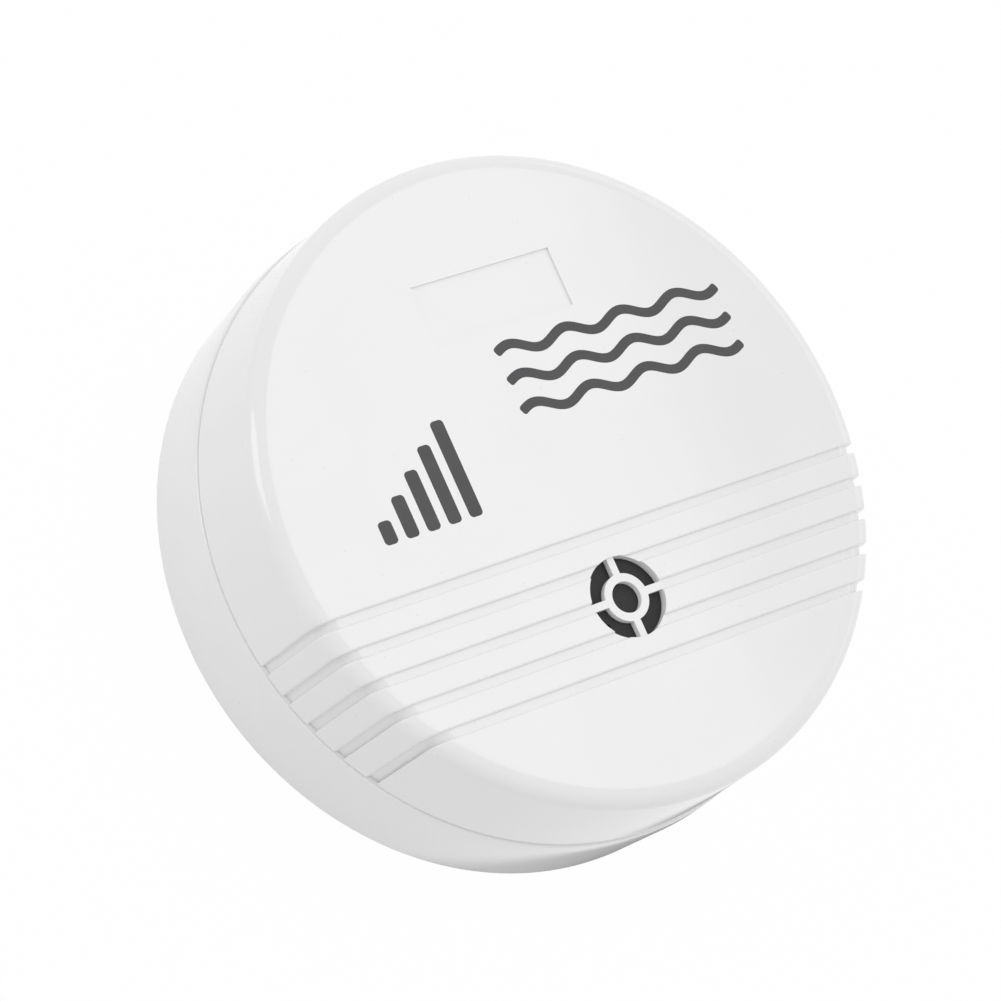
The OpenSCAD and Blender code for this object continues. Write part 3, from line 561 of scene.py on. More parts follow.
def cover_skin(sizes):
    """The cover's outer skin, open at the seam, with its grooves sunk in and their brinks rounded."""
    profile = cover_profile(sizes)
    bm = turned([grooved_ring(r, z, sizes) for r, z in profile])
    lines = groove_lines(sizes)
    face_edge = [v for v in bm.verts if abs(v.co.z - FACE_Z) < NEAR]
    for line in lines:
        bmesh.ops.connect_verts(bm, verts=[v for v in face_edge if abs(v.co.y - line) < NEAR])
    half = sizes.groove_width / 2
    strips = [
        f
        for f in bm.faces
        if any(abs(f.calc_center_median().y - y) < half for y in groove_places(sizes))
    ]
    grown = bmesh.ops.extrude_face_region(bm, geom=strips)["geom"]
    bmesh.ops.delete(bm, geom=strips, context="FACES")
    sunk = {g for g in grown if isinstance(g, bmesh.types.BMVert)}
    steps = list(zip(profile, groove_profile(sizes)))
    for vert in sunk:
        radius, z = min(steps, key=lambda step: abs(step[0][1] - vert.co.z))[1]
        x = math.sqrt(radius**2 - vert.co.y**2)
        vert.co = (math.copysign(x, vert.co.x), vert.co.y, z)
    low = seam_z(sizes) + NEAR
    bmesh.ops.delete(
        bm, geom=[f for f in bm.faces if all(v.co.z < low for v in f.verts)], context="FACES"
    )
    brinks = [
        e
        for e in bm.edges
        if sunk.isdisjoint(e.verts)
        and any(all(abs(v.co.y - line) < NEAR for v in e.verts) for line in lines)
    ]
    round_edges(bm, brinks, sizes.edge_round)
    return bm


def cover_shell(sizes):
    """The cover's skin, hollowed out to its lip rebate, inner wall and ceiling."""
    bm = cover_skin(sizes)
    close(bm)
    skirt = COVER_R - sizes.lip_skirt
    inside = COVER_R - sizes.cover_lean - sizes.cover_wall
    low, high = seam_z(sizes), ceiling_z(sizes)
    step = low + sizes.lip_height
    wall = [(skirt, low - CUT), (skirt, step), (inside, step), (inside, high)]
    # The ceiling is made in rings, so that what meets it later never lies inside one face
    wall += [(inside * share, high) for share in CEILING_RINGS]
    hollow = turned([even_ring(r, z, BASE_STEPS) for r, z in wall])
    close(hollow)
    return combine(bm, [], [hollow])


# Under the cover's face
COVER_BOSS_R = 2.95 * MM
PILOT_R = 1.45 * MM
PILOT_TOP = 20 * MM
COLLAR_R = 12.85 * MM
COLLAR_BORE_R = 11.65 * MM
COLLAR_HEIGHT = 3.9 * MM
# Share of the face's thickness in which bosses and collar are rooted
ROOTED = 0.25


def cover_inside(sizes):
    """The screw bosses and the buzzer's collar under the cover's face, and their bores."""
    middle = (BUZZER_LOW.y + BUZZER_HIGH.y) / 2
    ceiling = ceiling_z(sizes)
    collar_z = ceiling - COLLAR_HEIGHT
    root = ceiling + sizes.face_thickness * ROOTED
    bosses = [rod((x, y, JOIN_Z), (x, y, root), COVER_BOSS_R) for x, y in SCREW_SPOTS]
    bosses.append(rod((0, middle, collar_z), (0, middle, root), COLLAR_R, COLLAR_STEPS))
    bores = [rod((x, y, JOIN_Z - CUT), (x, y, PILOT_TOP), PILOT_R) for x, y in SCREW_SPOTS]
    bores.append(rod((0, middle, collar_z - CUT), (0, middle, SOUND_Z), COLLAR_BORE_R, COLLAR_STEPS))
    return bosses, bores


def cover_openings(sizes):
    """What is cut for the sound opening, round its ring and spokes, and for the label recess."""
    middle = sound_y(sizes)
    floor_z = FACE_Z - sizes.groove_depth
    low = SOUND_Z - CUT
    wide = sizes.opening_radius
    pocket = rod((0, middle, floor_z), (0, middle, FACE_Z + CUT), wide, OPENING_STEPS)
    bore = rod((0, middle, low), (0, middle, FACE_Z), sizes.bore_radius)
    sectors = rod((0, middle, low), (0, middle, FACE_Z), wide, OPENING_STEPS)
    half = sizes.spoke_width / 2
    keep = [
        rod((0, middle, low - CUT), (0, middle, FACE_Z + CUT), sizes.ring_radius),
        block((-wide - CUT, middle - half, low - CUT), (wide + CUT, middle + half, FACE_Z + CUT)),
        block((-half, middle - wide - CUT, low - CUT), (half, middle + wide + CUT, FACE_Z + CUT)),
    ]
    sectors = combine(sectors, [], keep)
    x, y = sizes.label_length / 2, sizes.label_width / 2
    label = block(
        (-x, sizes.label_place - y, FACE_Z - sizes.label_depth), (x, sizes.label_place + y, FACE_Z + CUT)
    )
    return [pocket, sectors, bore, label]


def cover_rims(bm, sizes):
    """The sharp edges that the cuts leave on the face and on the opening's ring."""
    floor_z = FACE_Z - sizes.groove_depth
    middle = Vector((0, sound_y(sizes)))
    near = sizes.ring_radius + sizes.fine_round
    rims = []
    for edge in sharp_edges(bm, SHARP):
        spot = (edge.verts[0].co + edge.verts[1].co) / 2
        on_face = spot.z > FACE_Z - RIM
        on_ring = abs(spot.z - floor_z) < RIM and (spot.xy - middle).length < near
        if on_face or on_ring:
            rims.append(edge)
    return rims


class LEAK_OT_cover(bpy.types.Operator):
    """Builds the white cover with its grooves, sound opening and label recess"""

    bl_idname = "leak_alarm.cover"
    bl_label = "Cover"

    def execute(self, context):
        sizes = context.scene.leak_case
        bosses, bores = cover_inside(sizes)
        bm = combine(cover_shell(sizes), bosses, bores + cover_openings(sizes))
        round_edges(bm, cover_rims(bm, sizes), sizes.fine_round)
        place_piece(bm, "cover_moulding", bpy.data.materials[WHITE_ABS], ["top_cover"])
        return {"FINISHED"}


def base_shell(sizes):
    """The base's round shell with its rim, parting line and lip."""
    rim_z = seam_z(sizes) - sizes.seam_gap
    step_r = COVER_R - sizes.seam_depth
    step_z = seam_z(sizes) - SEAM_CLEAR
    lip_r = COVER_R - sizes.lip_skirt - sizes.lip_clearance
    lip_z = rim_z + sizes.lip_height - sizes.lip_clearance
    profile = foot_arc(RIM_R - sizes.base_taper, UNDER_Z, sizes.base_edge, CORNER_STEPS)
    profile += [
        (RIM_R, rim_z - sizes.rim_band),
        (RIM_R - sizes.rim_lean, rim_z),
        (step_r, rim_z),
        (step_r, step_z),
        (lip_r, step_z),
        (lip_r, lip_z),
        (lip_r - sizes.lip, lip_z),
        (lip_r - sizes.lip, UNDER_Z + sizes.floor),
    ]
    bm = turned([even_ring(r, z, BASE_STEPS) for r, z in profile])
    close(bm)
    return bm


# The battery box, the door's seat and hinge, and what stands on the base's floor
BOX_LOW = Vector((-26.66 * MM, BOX_Y - 13.65 * MM, UNDER_Z))
BOX_HIGH = Vector((26.66 * MM, BOX_Y + 13.65 * MM, 22.3 * MM))
BOX_WALL = 2 * MM
BOX_ROOF = 1.5 * MM
LEDGE = 1 * MM
LEAD_SLOT_X = (-25.61 * MM, -21.61 * MM)
LEAD_SLOT_Z = (9.65 * MM, 16.65 * MM)
BOSS_R = 3.9 * MM
COUNTERBORE_R = 3.1 * MM
COUNTERBORE = 6 * MM
SCREW_HOLE_R = 1.5 * MM
STUD_HOLE_R = 1.6 * MM
POST_R = 2.4 * MM
POST_HOLE_R = 0.85 * MM
POST_INSET = 3 * MM
REST_POST_X = 12 * MM
SCREW_POSTS = [(side * (BOARD_HIGH.x - POST_INSET), BOARD_HIGH.y - POST_INSET) for side in (-1, 1)]
REST_POSTS = [(side * REST_POST_X, BOARD_LOW.y + POST_INSET) for side in (-1, 1)]
PIN_R = 0.65 * MM
PIN_CLEARANCE = 0.05 * MM
PIN_LENGTH = 1.5 * MM
SCOOP_R = 4.6 * MM
SCOOP_DEPTH = 1.2 * MM
SCOOP_ROUND = 0.96 * MM
# Sharp edges of the underside that are shorter than this go round its holes
HOLE_SIDE = 1 * MM


def base_additions(sizes):
    """The battery box, screw bosses and board posts that stand on the base's floor."""
    foot = UNDER_Z + sizes.floor / 2
    wall = Vector((BOX_WALL, BOX_WALL, 0))
    low, high = BOX_LOW - wall, BOX_HIGH + wall
    tools = [block((low.x, low.y, foot), (high.x, high.y, high.z + BOX_ROOF))]
    tools += [rod((x, y, foot), (x, y, JOIN_Z), BOSS_R) for x, y in SCREW_SPOTS]
    tools += [rod((x, y, foot), (x, y, BOARD_LOW.z), POST_R) for x, y in SCREW_POSTS + REST_POSTS]
    return tools


def finger_scoop():
    """The dished hollow beside the door's latch."""
    spot = Vector((BOX_LOW.x - LEDGE, BOX_Y, UNDER_Z))
    bm = rod(spot - Vector((0, 0, CUT)), spot + Vector((0, 0, SCOOP_DEPTH)), SCOOP_R, COUNTERBORE_STEPS)
    rim = [e for e in bm.edges if all(v.co.z > UNDER_Z for v in e.verts)]
    round_edges(bm, rim, SCOOP_ROUND, SOFT_STEPS)
    return bm


def base_cuts(sizes):
    """What is cut out of the base: battery box, door seat, hinge sockets, scoop, holes and lead slot."""
    floor_z = UNDER_Z + sizes.floor
    below = UNDER_Z - CUT
    ledge = Vector((LEDGE, LEDGE, 0))
    seat_low, seat_high = BOX_LOW - ledge, BOX_HIGH + ledge
    tools = [
        block((BOX_LOW.x, BOX_LOW.y, below), BOX_HIGH),
        block((seat_low.x, seat_low.y, below), (seat_high.x, seat_high.y, floor_z)),
        finger_scoop(),
        block(
            (LEAD_SLOT_X[0], BOX_LOW.y - BOX_WALL - CUT, LEAD_SLOT_Z[0]),
            (LEAD_SLOT_X[1], BOX_LOW.y + CUT, LEAD_SLOT_Z[1]),
        ),
    ]
    for y, side in ((seat_low.y, -1), (seat_high.y, 1)):
        mouth = (HINGE_X, y - side * CUT, HINGE_Z)
        end = (HINGE_X, y + side * PIN_LENGTH, HINGE_Z)
        tools.append(rod(mouth, end, PIN_R + PIN_CLEARANCE, PIN_STEPS))
    for x, y in SCREW_SPOTS:
        head = UNDER_Z + COUNTERBORE
        tools.append(rod((x, y, below), (x, y, head), COUNTERBORE_R, COUNTERBORE_STEPS))
        tools.append(rod((x, y, below), (x, y, JOIN_Z + CUT), SCREW_HOLE_R, HOLE_STEPS))
    for x, y in STUD_SPOTS:
        tools.append(rod((x, y, below), (x, y, floor_z + CUT), STUD_HOLE_R, HOLE_STEPS))
    for x, y in SCREW_POSTS:
        tools.append(rod((x, y, floor_z), (x, y, BOARD_LOW.z + CUT), POST_HOLE_R, PIN_STEPS))
    return tools


class LEAK_OT_base(bpy.types.Operator):
    """Builds the white base with its rim, battery box, screw holes and finger scoop"""

    bl_idname = "leak_alarm.base"
    bl_label = "Base"

    def execute(self, context):
        sizes = context.scene.leak_case
        bm = combine(base_shell(sizes), base_additions(sizes), base_cuts(sizes))
        rim_z = seam_z(sizes) - sizes.seam_gap
        brims, holes = [], []
        for edge in sharp_edges(bm, SHARP):
            if all(abs(v.co.z - rim_z) < LEVEL and v.co.xy.length > COVER_R for v in edge.verts):
                brims.append(edge)
            if all(abs(v.co.z - UNDER_Z) < LEVEL for v in edge.verts) and edge.calc_length() < HOLE_SIDE:
                holes.append(edge)
        round_edges(bm, brims, sizes.rim_round, SOFT_STEPS)
        round_edges(bm, holes, sizes.edge_round)
        place_piece(bm, "base_moulding", bpy.data.materials[WHITE_ABS], ["base_shell"])
        return {"FINISHED"}


# The door's latch tongue, its grip and its catch
TONGUE_LENGTH = 12 * MM
TONGUE_WIDTH = 11 * MM
TONGUE_SLOT = 1 * MM
GRIP_COUNT = 4
GRIP_PITCH = 2 * MM
GRIP_WIDTH = 0.8 * MM
GRIP_DEPTH = 0.4 * MM
GRIP_INSET = 1 * MM
CATCH = 0.15 * MM
CATCH_WIDTH = 5.5 * MM
CATCH_HEIGHT = 0.55 * MM
# Rounding of the hinge end, as a share of half the door's thickness
BARREL = 0.98
BARREL_STEPS = 8


class LEAK_OT_door(bpy.types.Operator):
    """Builds the battery door with its hinge pins, latch tongue and grip"""

    bl_idname = "leak_alarm.door"
    bl_label = "Battery door"

    def execute(self, context):
        sizes = context.scene.leak_case
        front, back = DOOR_LOW.y + PIN_LENGTH, DOOR_HIGH.y - PIN_LENGTH
        end = DOOR_LOW.x + CATCH
        low, high = DOOR_LOW.z, DOOR_HIGH.z
        bm = block((end, front, low), (DOOR_HIGH.x, back, high))
        barrel = [e for e in edges_along(bm, 1) if all(v.co.x > HINGE_X for v in e.verts)]
        round_edges(bm, barrel, (high - low) / 2 * BARREL, BARREL_STEPS)
        catch = CATCH_WIDTH / 2
        joined = [
            rod((HINGE_X, DOOR_LOW.y, HINGE_Z), (HINGE_X, front + CUT, HINGE_Z), PIN_R, PIN_STEPS),
            rod((HINGE_X, back - CUT, HINGE_Z), (HINGE_X, DOOR_HIGH.y, HINGE_Z), PIN_R, PIN_STEPS),
            block((DOOR_LOW.x, BOX_Y - catch, HINGE_Z), (end + CUT, BOX_Y + catch, HINGE_Z + CATCH_HEIGHT)),
        ]
        cuts = []
        slot = TONGUE_SLOT / 2
        for side in (-1, 1):
            y = BOX_Y + side * (TONGUE_WIDTH / 2 + slot)
            cuts.append(block((end - CUT, y - slot, low - CUT), (end + TONGUE_LENGTH, y + slot, high + CUT)))
        reach = TONGUE_WIDTH / 2 - GRIP_INSET
        for i in range(1, GRIP_COUNT + 1):
            left = end + i * GRIP_PITCH - GRIP_WIDTH / 2
            right = left + GRIP_WIDTH
            cuts.append(block((left, BOX_Y - reach, low - CUT), (right, BOX_Y + reach, low + GRIP_DEPTH)))
        bm = combine(bm, joined, cuts)
        rims = [e for e in sharp_edges(bm, SQUARE) if all(abs(v.co.z - low) < LEVEL for v in e.verts)]
        round_edges(bm, rims, sizes.edge_round)
        white = bpy.data.materials[WHITE_ABS]
        place_piece(bm, "door_moulding", white, ["battery_door"], "door")
        return {"FINISHED"}


# The pad's top sinks towards its edges by a share of its height, steeply near the edge
PAD_CUTS = 11
PAD_SINK = 0.3
PAD_POWER = 6


class LEAK_OT_pad(bpy.types.Operator):
    """Builds the foam pad that keeps the battery still"""

    bl_idname = "leak_alarm.pad"
    bl_label = "Foam pad"

    def execute(self, context):
        finish = context.scene.leak_finish
        foam = [c * 0.55 for c in finish.foam_colour]
        material = grained("Closed-cell foam", list(finish.foam_colour), foam, 0.45, 0.85, 0.06)
        bm = block(PAD_LOW, PAD_HIGH)
        bmesh.ops.subdivide_edges(bm, edges=bm.edges, cuts=PAD_CUTS, use_grid_fill=True)
        middle = (PAD_LOW + PAD_HIGH) / 2
        half = (PAD_HIGH - PAD_LOW) / 2
        for vert in bm.verts:
            if vert.co.z > PAD_LOW.z:
                share = max(abs(vert.co.x - middle.x) / half.x, abs(vert.co.y - middle.y) / half.y)
                vert.co.z -= PAD_SINK * (vert.co.z - PAD_LOW.z) * share**PAD_POWER
        pad = place_piece(bm, "foam_pad", material, ["door_pad"], "door", SQUARE)
        return {"FINISHED"}


# A stud's head is rounded at the foot, its shank chamfered at the top
STUD_EDGE = 0.4 * MM
SHANK_R = 1.5 * MM
STUD_STEPS = 48
STUD_CORNER_STEPS = 4


class LEAK_OT_studs(bpy.types.Operator):
    """Builds the nickel-plated sensing studs that the alarm stands on"""

    bl_idname = "leak_alarm.studs"
    bl_label = "Sensing studs"

    def execute(self, context):
        finish = context.scene.leak_finish
        worn = [c * 0.8 for c in finish.stud_colour]
        material = grained("Nickel plate", list(finish.stud_colour), worn, 0.3, 0.2, 0.002, 1.0)
        profile = foot_arc(STUD_R, 0, STUD_EDGE, STUD_CORNER_STEPS)
        profile += [
            (STUD_R, UNDER_Z),
            (SHANK_R, UNDER_Z),
            (SHANK_R, STUD_HIGH.z - STUD_EDGE),
            (SHANK_R - STUD_EDGE, STUD_HIGH.z),
        ]
        whole = bmesh.new()
        for spot in STUD_SPOTS:
            stud = turned([even_ring(r, z, STUD_STEPS, spot) for r, z in profile])
            close(stud)
            gather(whole, stud)
        place_piece(whole, "sensing_studs", material, ["probe_studs"])
        return {"FINISHED"}


# The battery's can and end plate, and the snap connector
CAN_CORNER = 1.8 * MM
CAN_SHEET = 0.4 * MM
CAN_RIM = 0.12 * MM
SNAP_CORNER = 2.5 * MM
SNAP_RIM = 0.5 * MM


class LEAK_OT_battery(bpy.types.Operator):
    """Builds the battery's lacquered can, its end plate and the snap connector"""

    bl_idname = "leak_alarm.battery"
    bl_label = "Battery"

    def execute(self, context):
        finish = context.scene.leak_finish
        dark = [c * 0.8 for c in finish.battery_colour]
        lacquer = grained("Lacquered steel", list(finish.battery_colour), dark, 0.5, 0.3, 0.001, 0.6)
        can = block(CAN_LOW, CAN_HIGH)
        round_edges(can, edges_along(can, 0), CAN_CORNER, CORNER_STEPS)
        sheet = Vector((CAN_SHEET, CAN_SHEET, CAN_SHEET))
        hollow = block(CAN_LOW + sheet - Vector((2 * CUT, 0, 0)), CAN_HIGH - sheet)
        round_edges(hollow, edges_along(hollow, 0), CAN_CORNER - CAN_SHEET, CORNER_STEPS)
        can = combine(can, [], [hollow])
        round_edges(can, sharp_edges(can, SQUARE), CAN_RIM)
        place_piece(can, "battery_can", lacquer, ["battery_jacket"])
        plate = block(PLATE_LOW, PLATE_HIGH)
        round_edges(plate, edges_along(plate, 0), CAN_CORNER - CAN_SHEET, CORNER_STEPS)
        black = bpy.data.materials[BLACK_PLASTIC]
        place_piece(plate, "battery_plate", black, ["battery_end_plate"])
        vinyl = grained("Moulded vinyl", linear("#2A2A2B"), linear("#161617"), 0.4, 0.5, 0.004)
        snap = block(SNAP_LOW, SNAP_HIGH)
        round_edges(snap, edges_along(snap, 0), SNAP_CORNER, CORNER_STEPS)
        round_edges(snap, [e for e in snap.edges if e.calc_face_angle(0) > SQUARE], SNAP_RIM)
        place_piece(snap, "snap_connector", vinyl, ["battery_snap"])
        return {"FINISHED"}


def ribbon(points, width):
    """A flat ribbon along level points, made by pulling an edge from point to point."""
    bm = bmesh.new()
    ways = [(b - a).normalized() for a, b in zip(points, points[1:])]
    ways = [ways[0]] + [(a + b).normalized() for a, b in zip(ways, ways[1:])] + [ways[-1]]
    sides = [Vector((-w.y, w.x, 0)) * width / 2 for w in ways]
    verts = [bm.verts.new(points[0] + sides[0]), bm.verts.new(points[0] - sides[0])]
    edge = bm.edges.new(verts)
    for point, side in zip(points[1:], sides[1:]):
        grown = bmesh.ops.extrude_edge_only(bm, edges=[edge])["geom"]
        fresh = [g for g in grown if isinstance(g, bmesh.types.BMVert)]
        ends = [next(e.other_vert(v) for e in v.link_edges if e.other_vert(v) in fresh) for v in verts]
        ends[0].co, ends[1].co = point + side, point - side
        verts = ends
        edge = bm.edges.get(verts)
    return bm


# Places of the printed waves and bars on the face
WAVE_COUNT = 3
WAVE_LEFT = -3 * MM
WAVE_RIGHT = 31.4 * MM
WAVE_FIRST = 16.6 * MM
WAVE_POINTS = 24
BAR_COUNT = 5
BAR_LEFT = -27.4 * MM
BAR_FOOT = -1.6 * MM
BAR_FIRST = 3 * MM
BAR_GROWTH = 2.4 * MM
# Rounding of a stroke's corners, as a share of its width
END_ROUND = 0.45


class LEAK_OT_print(bpy.types.Operator):
    """Prints the plain water and loudness signs on the face: three waves and five rising bars"""

    bl_idname = "leak_alarm.print"
    bl_label = "Face print"

    def execute(self, context):
        signs = context.scene.leak_print
        ink_colour = list(context.scene.leak_finish.ink_colour)
        ink = grained("Printing ink", ink_colour, [c * 0.8 for c in ink_colour], 0.3, 0.45, 0.002)
        low = FACE_Z - signs.film
        whole = bmesh.new()
        shapes = []
        span = WAVE_RIGHT - WAVE_LEFT
        count = round(span / signs.wave_length * WAVE_POINTS)
        xs = [WAVE_LEFT + span * k / count for k in range(count + 1)]
        turns = [2 * math.pi * (x - WAVE_LEFT) / signs.wave_length for x in xs]
        height = (signs.wave_height - signs.stroke) / 2
        for row in range(WAVE_COUNT):
            y = WAVE_FIRST - row * signs.wave_pitch
            line = [Vector((x, y + height * math.sin(t), low)) for x, t in zip(xs, turns)]
            shapes.append(ribbon(line, signs.stroke))
        for i in range(BAR_COUNT):
            x = BAR_LEFT + i * signs.bar_pitch
            top = BAR_FOOT + BAR_FIRST + i * BAR_GROWTH
            ends = [Vector((x, BAR_FOOT, low)), Vector((x, top, low))]
            shapes.append(ribbon(ends, signs.bar_width))
        for bm in shapes:
            corners = [v for v in bm.verts if len(v.link_edges) == 2]
            round_edges(bm, corners, END_ROUND * signs.stroke, SOFT_STEPS, "VERTICES")
            grown = bmesh.ops.extrude_face_region(bm, geom=bm.faces[:])["geom"]
            bmesh.ops.translate(
                bm, verts=[g for g in grown if isinstance(g, bmesh.types.BMVert)], vec=(0, 0, 2 * signs.film)
            )
            gather(whole, bm)
        place_piece(whole, "face_print", ink)
        return {"FINISHED"}


# Finishes of the CAD nodes that stay in view, each with its light and its dark tone.
# Then come grain, roughness, depth and metal, and the nodes that wear it.
GRAINED = (
    # Bright zinc over steel: bluish, slightly cloudy
    ("Zinc-plated steel", "#C4C7CA", "#A6AAAE", (0.35, 0.32, 0.004, 1.0),
     "case_screws board_screws probe_nuts"),
    ("Nickel-plated brass", "#D2CDC2", "#B4AE9F", (0.3, 0.22, 0.002, 1.0), "battery_terminals snap_contacts"),
    ("Tinned copper", "#CDCDCB", "#A9A9A6", (0.3, 0.38, 0.004, 1.0), "chip_pins component_leads probe_lugs"),
    ("Drawn cell can", "#C0C0BE", "#9C9C9A", (0.8, 0.35, 0.003, 1.0), "battery_cells"),
    ("Moulded epoxy compound", "#2B2B2B", "#1B1B1B", (0.15, 0.6, 0.006), "alarm_chip drive_transistor"),
    ("Sintered ferrite", "#4A4A4C", "#333335", (0.2, 0.6, 0.01), "coil_core"),
    ("Dipped ceramic capacitor", "#C07A38", "#A2602A", (0.3, 0.45, 0.006), "disc_capacitors"),
    ("Rolled brass sheet", "#D6B25E", "#B8923F", (0.4, 0.3, 0.002, 1.0), "piezo_plate"),
    ("Silvered piezo ceramic", "#E4DFD2", "#CFC9BA", (0.2, 0.5, 0.004), "piezo_ceramic"),
    ("Red wire insulation", "#B8241E", "#98180F", (0.4, 0.45, 0.003), "battery_lead_red buzzer_leads"),
    ("Black wire insulation", "#2A2A2A", "#1A1A1A", (0.4, 0.45, 0.003), "battery_lead_black"),
    ("Blue wire insulation", "#2C4FA8", "#1F3C88", (0.4, 0.45, 0.003), "probe_leads"),
)
# Or period, direction, roughness, depth and metal
BANDED = (
    # Green solder mask over glass-fibre laminate, with the tracks' edges showing through
    ("Solder-masked laminate", "#2E7A48", "#1F5E36", (2.54, "X", 0.35, 0.01), "circuit_board"),
    # Enamelled copper wire, wound in turns of 0.3 mm, with painted shade as the dark tone in the valleys
    # between the turns
    ("Enamelled copper wire", "#C9743A", "#7E3F1A", (0.3, "Z", 0.3, 0.06, 0.8), "coil_winding"),
    ("Printed shrink sleeve", "#2C3A78", "#1B2450", (3.1, "X", 0.3, 0.004), "smoothing_capacitor"),
    ("Lacquered resistor body", "#D8BE92", "#8A4A22", (1.5, "X", 0.35, 0.004), "resistors"),
)


def dress(finish, nodes):
    """Gives CAD nodes a finish."""
    for node in nodes.split():
        frame["nodes"][node].data.materials.clear()
        frame["nodes"][node].data.materials.append(finish)


class LEAK_OT_finishes(bpy.types.Operator):
    """Makes the shared finishes and gives each CAD node that stays in view its own"""

    bl_idname = "leak_alarm.finishes"
    bl_label = "Finishes"

    def execute(self, context):
        moulded_abs(list(context.scene.leak_finish.case_colour))
        # Injection-moulded black plastic with a fine spark-eroded texture that takes most of its gloss
        light, dark = linear("#3B3B3C"), linear("#2C2C2D")
        black = grained(BLACK_PLASTIC, light, dark, 0.25, 0.5, 0.01, **{"Specular IOR Level": 0.2})
        dress(black, "buzzer_case buzzer_back")
        for make, table in ((grained, GRAINED), (banded, BANDED)):
            for name, light, dark, texture, nodes in table:
                dress(make(name, linear(light), linear(dark), *texture), nodes)
        return {"FINISHED"}


# The photograph's camera, from a fit to the seam, the face's edge and the grooves
CAMERA_AZIMUTH = math.radians(-74.61)
CAMERA_ELEVATION = math.radians(55.57)
CAMERA_ROLL = math.radians(53.0)
CAMERA_DISTANCE = 556.64 * MM
CAMERA_AIM = Vector((0, 0, 15.2 * MM))
PICTURE = 1001
FOCAL_PIXELS = 4510.9
SENSOR = 36
# How far the aim lies from the picture's middle
SHIFT_RIGHT_PIXELS = 15.47
SHIFT_DOWN_PIXELS = 12.53
CLIP_NEAR = 0.01

# Floor and light
WHITE = (1, 1, 1, 1)
FLOOR_HALF = 6
FLOOR_PAINT = "#E6E6E6"
FLOOR_WHITE = 0.98
# A painted shadow in the floor's reflection: round this point the mirrored floor's glow falls from full to
# this share
PAINTED_SHADOW_CENTRE = (3.6 * MM, -7.4 * MM, 0)
PAINTED_SHADOW_NEAR = 38 * MM
PAINTED_SHADOW_FAR = 40.6 * MM
PAINTED_SHADOW_GLOW = 0.22
ROOM_AXIS = (-0.48, 0.1, 0.87)
ROOM_FILL = 0.985
ROOM_FALL = 0.35
TOP_BOX = (0.525, 0.19, 1.03)
TOP_WIDE = 0.36
TOP_LONG = 0.5
TOP_LIGHT = 1.45
SIDE_BOX = (-0.78, 0.66, 0.62)
SIDE_ACROSS = (0.66, 0.78, 0)
SIDE_WIDE = 0.45
SIDE_TALL = 0.9
SIDE_LIGHT = 2
BACK_BOX = (1.08, 0.18, 0.71)
BACK_ACROSS = (-0.18, 1.08, 0)
BACK_WIDE = 1.4
BACK_TALL = 0.25
BACK_LIGHT = 0.6


def seen_white(tree, path):
    """One for the rays that show the white background: from the camera, mirrored and through glass."""
    seen = path["Is Camera Ray"]
    for name in ("Is Transmission Ray", "Is Glossy Ray"):
        seen = add(tree, "Math", {0: seen, 1: path[name]}, operation="MAXIMUM").outputs[0]
    return seen


def softbox(name, place, aim, across, width, height, radiance):
    """A rectangular lamp that faces a point, with its width along a given direction."""
    lamp = bpy.data.lights.new(name, "AREA")
    lamp.shape = "RECTANGLE"
    lamp.size, lamp.size_y = width, height
    lamp.energy = radiance * math.pi * width * height
    box = bpy.data.objects.new(name, lamp)
    away = (Vector(place) - Vector(aim)).normalized()
    side = (Vector(across) - away * away.dot(Vector(across))).normalized()
    turn = Matrix((side, away.cross(side), away)).transposed()
    box.matrix_world = Matrix.Translation(place) @ turn.to_4x4()
    bpy.context.scene.collection.objects.link(box)


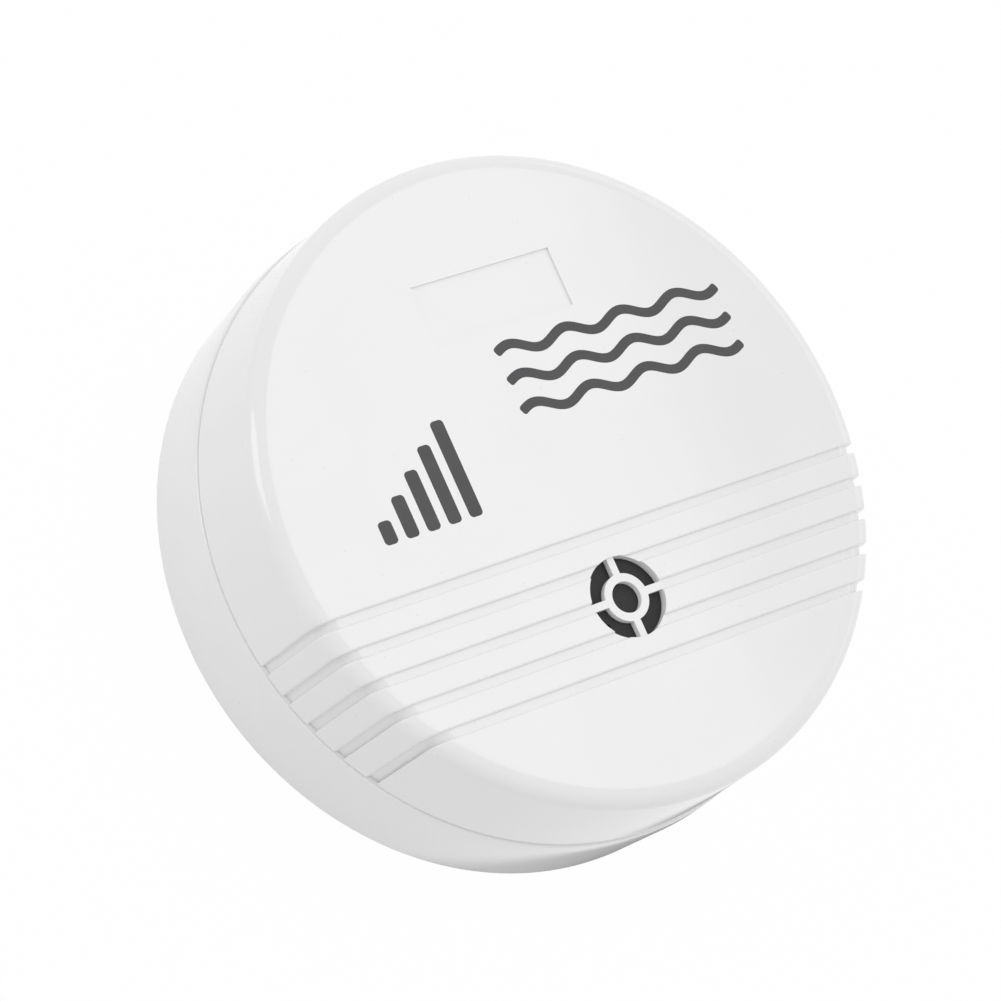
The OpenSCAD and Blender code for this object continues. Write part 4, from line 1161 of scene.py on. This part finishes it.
class LEAK_OT_stage(bpy.types.Operator):
    """Sets the pale floor, the soft light and the photograph's camera"""

    bl_idname = "leak_alarm.stage"
    bl_label = "Stage"

    def execute(self, context):
        scene = context.scene
        scene.view_settings.view_transform = "Standard"

        bm = bmesh.new()
        bmesh.ops.create_grid(bm, x_segments=1, y_segments=1, size=FLOOR_HALF)
        floor = mesh_object(bm, "floor")
        material = bpy.data.materials.new("Pale floor")
        tree = bare_tree(material)
        paint = add(tree, "BsdfDiffuse", {"Color": rgba(linear(FLOOR_PAINT))})
        white = add(tree, "Emission", {"Color": WHITE, "Strength": 1})
        faint = add(tree, "MixShader", {0: FLOOR_WHITE, 1: paint.outputs[0], 2: white.outputs[0]})
        # In the gloss of the case the floor glows white too, except for a painted shadow at its foot: an
        # off-centre ring where that glow is turned down
        spot = add(tree, "TexCoord").outputs["Object"]
        away = add(tree, "VectorMath", {0: spot, 1: PAINTED_SHADOW_CENTRE}, operation="DISTANCE").outputs["Value"]
        shade = (PAINTED_SHADOW_NEAR, PAINTED_SHADOW_FAR, PAINTED_SHADOW_GLOW, 1)
        clear = spread(tree, away, *shade, interpolation_type="SMOOTHSTEP")
        # The floor's glow in the gloss, with the painted shadow in it
        mirrored = add(tree, "Emission", {"Color": WHITE, "Strength": clear})
        path = add(tree, "LightPath").outputs
        seen = add(tree, "MixShader", {0: seen_white(tree, path), 1: paint.outputs[0], 2: faint.outputs[0]})
        surface = add(
            tree, "MixShader", {0: path["Is Glossy Ray"], 1: seen.outputs[0], 2: mirrored.outputs[0]}
        )
        add(tree, "OutputMaterial", {"Surface": surface.outputs[0]})
        floor.data.materials.append(material)

        world = bpy.data.worlds.new("Soft room")
        scene.world = world
        tree = bare_tree(world)
        # The fill is weakest from the viewer's side and grows towards the low far side
        way = add(tree, "TexCoord").outputs["Generated"]
        depth = add(tree, "VectorMath", {0: way, 1: ROOM_AXIS}, operation="DOT_PRODUCT").outputs["Value"]
        level = add(
            tree, "Math", {0: depth, 1: -ROOM_FALL, 2: ROOM_FILL}, operation="MULTIPLY_ADD"
        ).outputs[0]
        fill = add(tree, "Background", {"Color": WHITE, "Strength": level})
        white = add(tree, "Background", {"Color": WHITE, "Strength": 1})
        share = seen_white(tree, add(tree, "LightPath").outputs)
        room = add(tree, "MixShader", {0: share, 1: fill.outputs[0], 2: white.outputs[0]})
        add(tree, "OutputWorld", {"Surface": room.outputs[0]})

        # The edge of the top softbox is mirrored across the face
        softbox("top softbox", TOP_BOX, (0, 0, FACE_Z), (1, 0, 0), TOP_WIDE, TOP_LONG, TOP_LIGHT)
        softbox("side softbox", SIDE_BOX, (0, 0, FACE_Z / 2), SIDE_ACROSS, SIDE_WIDE, SIDE_TALL, SIDE_LIGHT)
        softbox("back softbox", BACK_BOX, (0, 0, FACE_Z / 2), BACK_ACROSS, BACK_WIDE, BACK_TALL, BACK_LIGHT)

        camera = bpy.data.cameras.new("camera")
        camera.sensor_width = SENSOR
        camera.lens = FOCAL_PIXELS / PICTURE * SENSOR
        camera.shift_x = -SHIFT_RIGHT_PIXELS / PICTURE
        camera.shift_y = SHIFT_DOWN_PIXELS / PICTURE
        camera.clip_start = CLIP_NEAR
        viewer = bpy.data.objects.new("camera", camera)
        level = math.cos(CAMERA_ELEVATION)
        back = Vector(
            (math.sin(CAMERA_AZIMUTH) * level, -math.cos(CAMERA_AZIMUTH) * level, math.sin(CAMERA_ELEVATION))
        )
        viewer.location = CAMERA_AIM + back * CAMERA_DISTANCE
        turn = back.to_track_quat("Z", "Y") @ Quaternion((0, 0, 1), CAMERA_ROLL)
        viewer.rotation_euler = turn.to_euler()
        scene.collection.objects.link(viewer)
        scene.camera = viewer
        return {"FINISHED"}


STEPS = (
    LEAK_OT_finishes,
    LEAK_OT_cover,
    LEAK_OT_base,
    LEAK_OT_door,
    LEAK_OT_pad,
    LEAK_OT_studs,
    LEAK_OT_battery,
    LEAK_OT_print,
    LEAK_OT_stage,
)


class LEAK_PT_panel(bpy.types.Panel):
    """Lists the steps that build the alarm"""

    bl_idname = "LEAK_PT_panel"
    bl_label = "Water leak alarm"
    bl_space_type = "VIEW_3D"
    bl_region_type = "UI"
    bl_category = "Leak alarm"

    def draw(self, context):
        for step in STEPS:
            self.layout.operator(step.bl_idname)
        for group in (context.scene.leak_case, context.scene.leak_print, context.scene.leak_finish):
            box = self.layout.box()
            for name in group.__annotations__:
                box.prop(group, name)


GROUPS = {"leak_case": LeakCaseSizes, "leak_print": LeakPrintSizes, "leak_finish": LeakFinishes}


def register():
    for group in GROUPS.values():
        bpy.utils.register_class(group)
    for name, group in GROUPS.items():
        setattr(bpy.types.Scene, name, PointerProperty(type=group))
    for step in (*STEPS, LEAK_PT_panel):
        bpy.utils.register_class(step)


def unregister():
    for step in (LEAK_PT_panel, *reversed(STEPS)):
        bpy.utils.unregister_class(step)
    for name, group in GROUPS.items():
        delattr(bpy.types.Scene, name)
        bpy.utils.unregister_class(group)


def main():
    register()
    for step in STEPS:
        module, name = step.bl_idname.split(".")
        getattr(getattr(bpy.ops, module), name)()


if __name__ == "__main__":
    main()
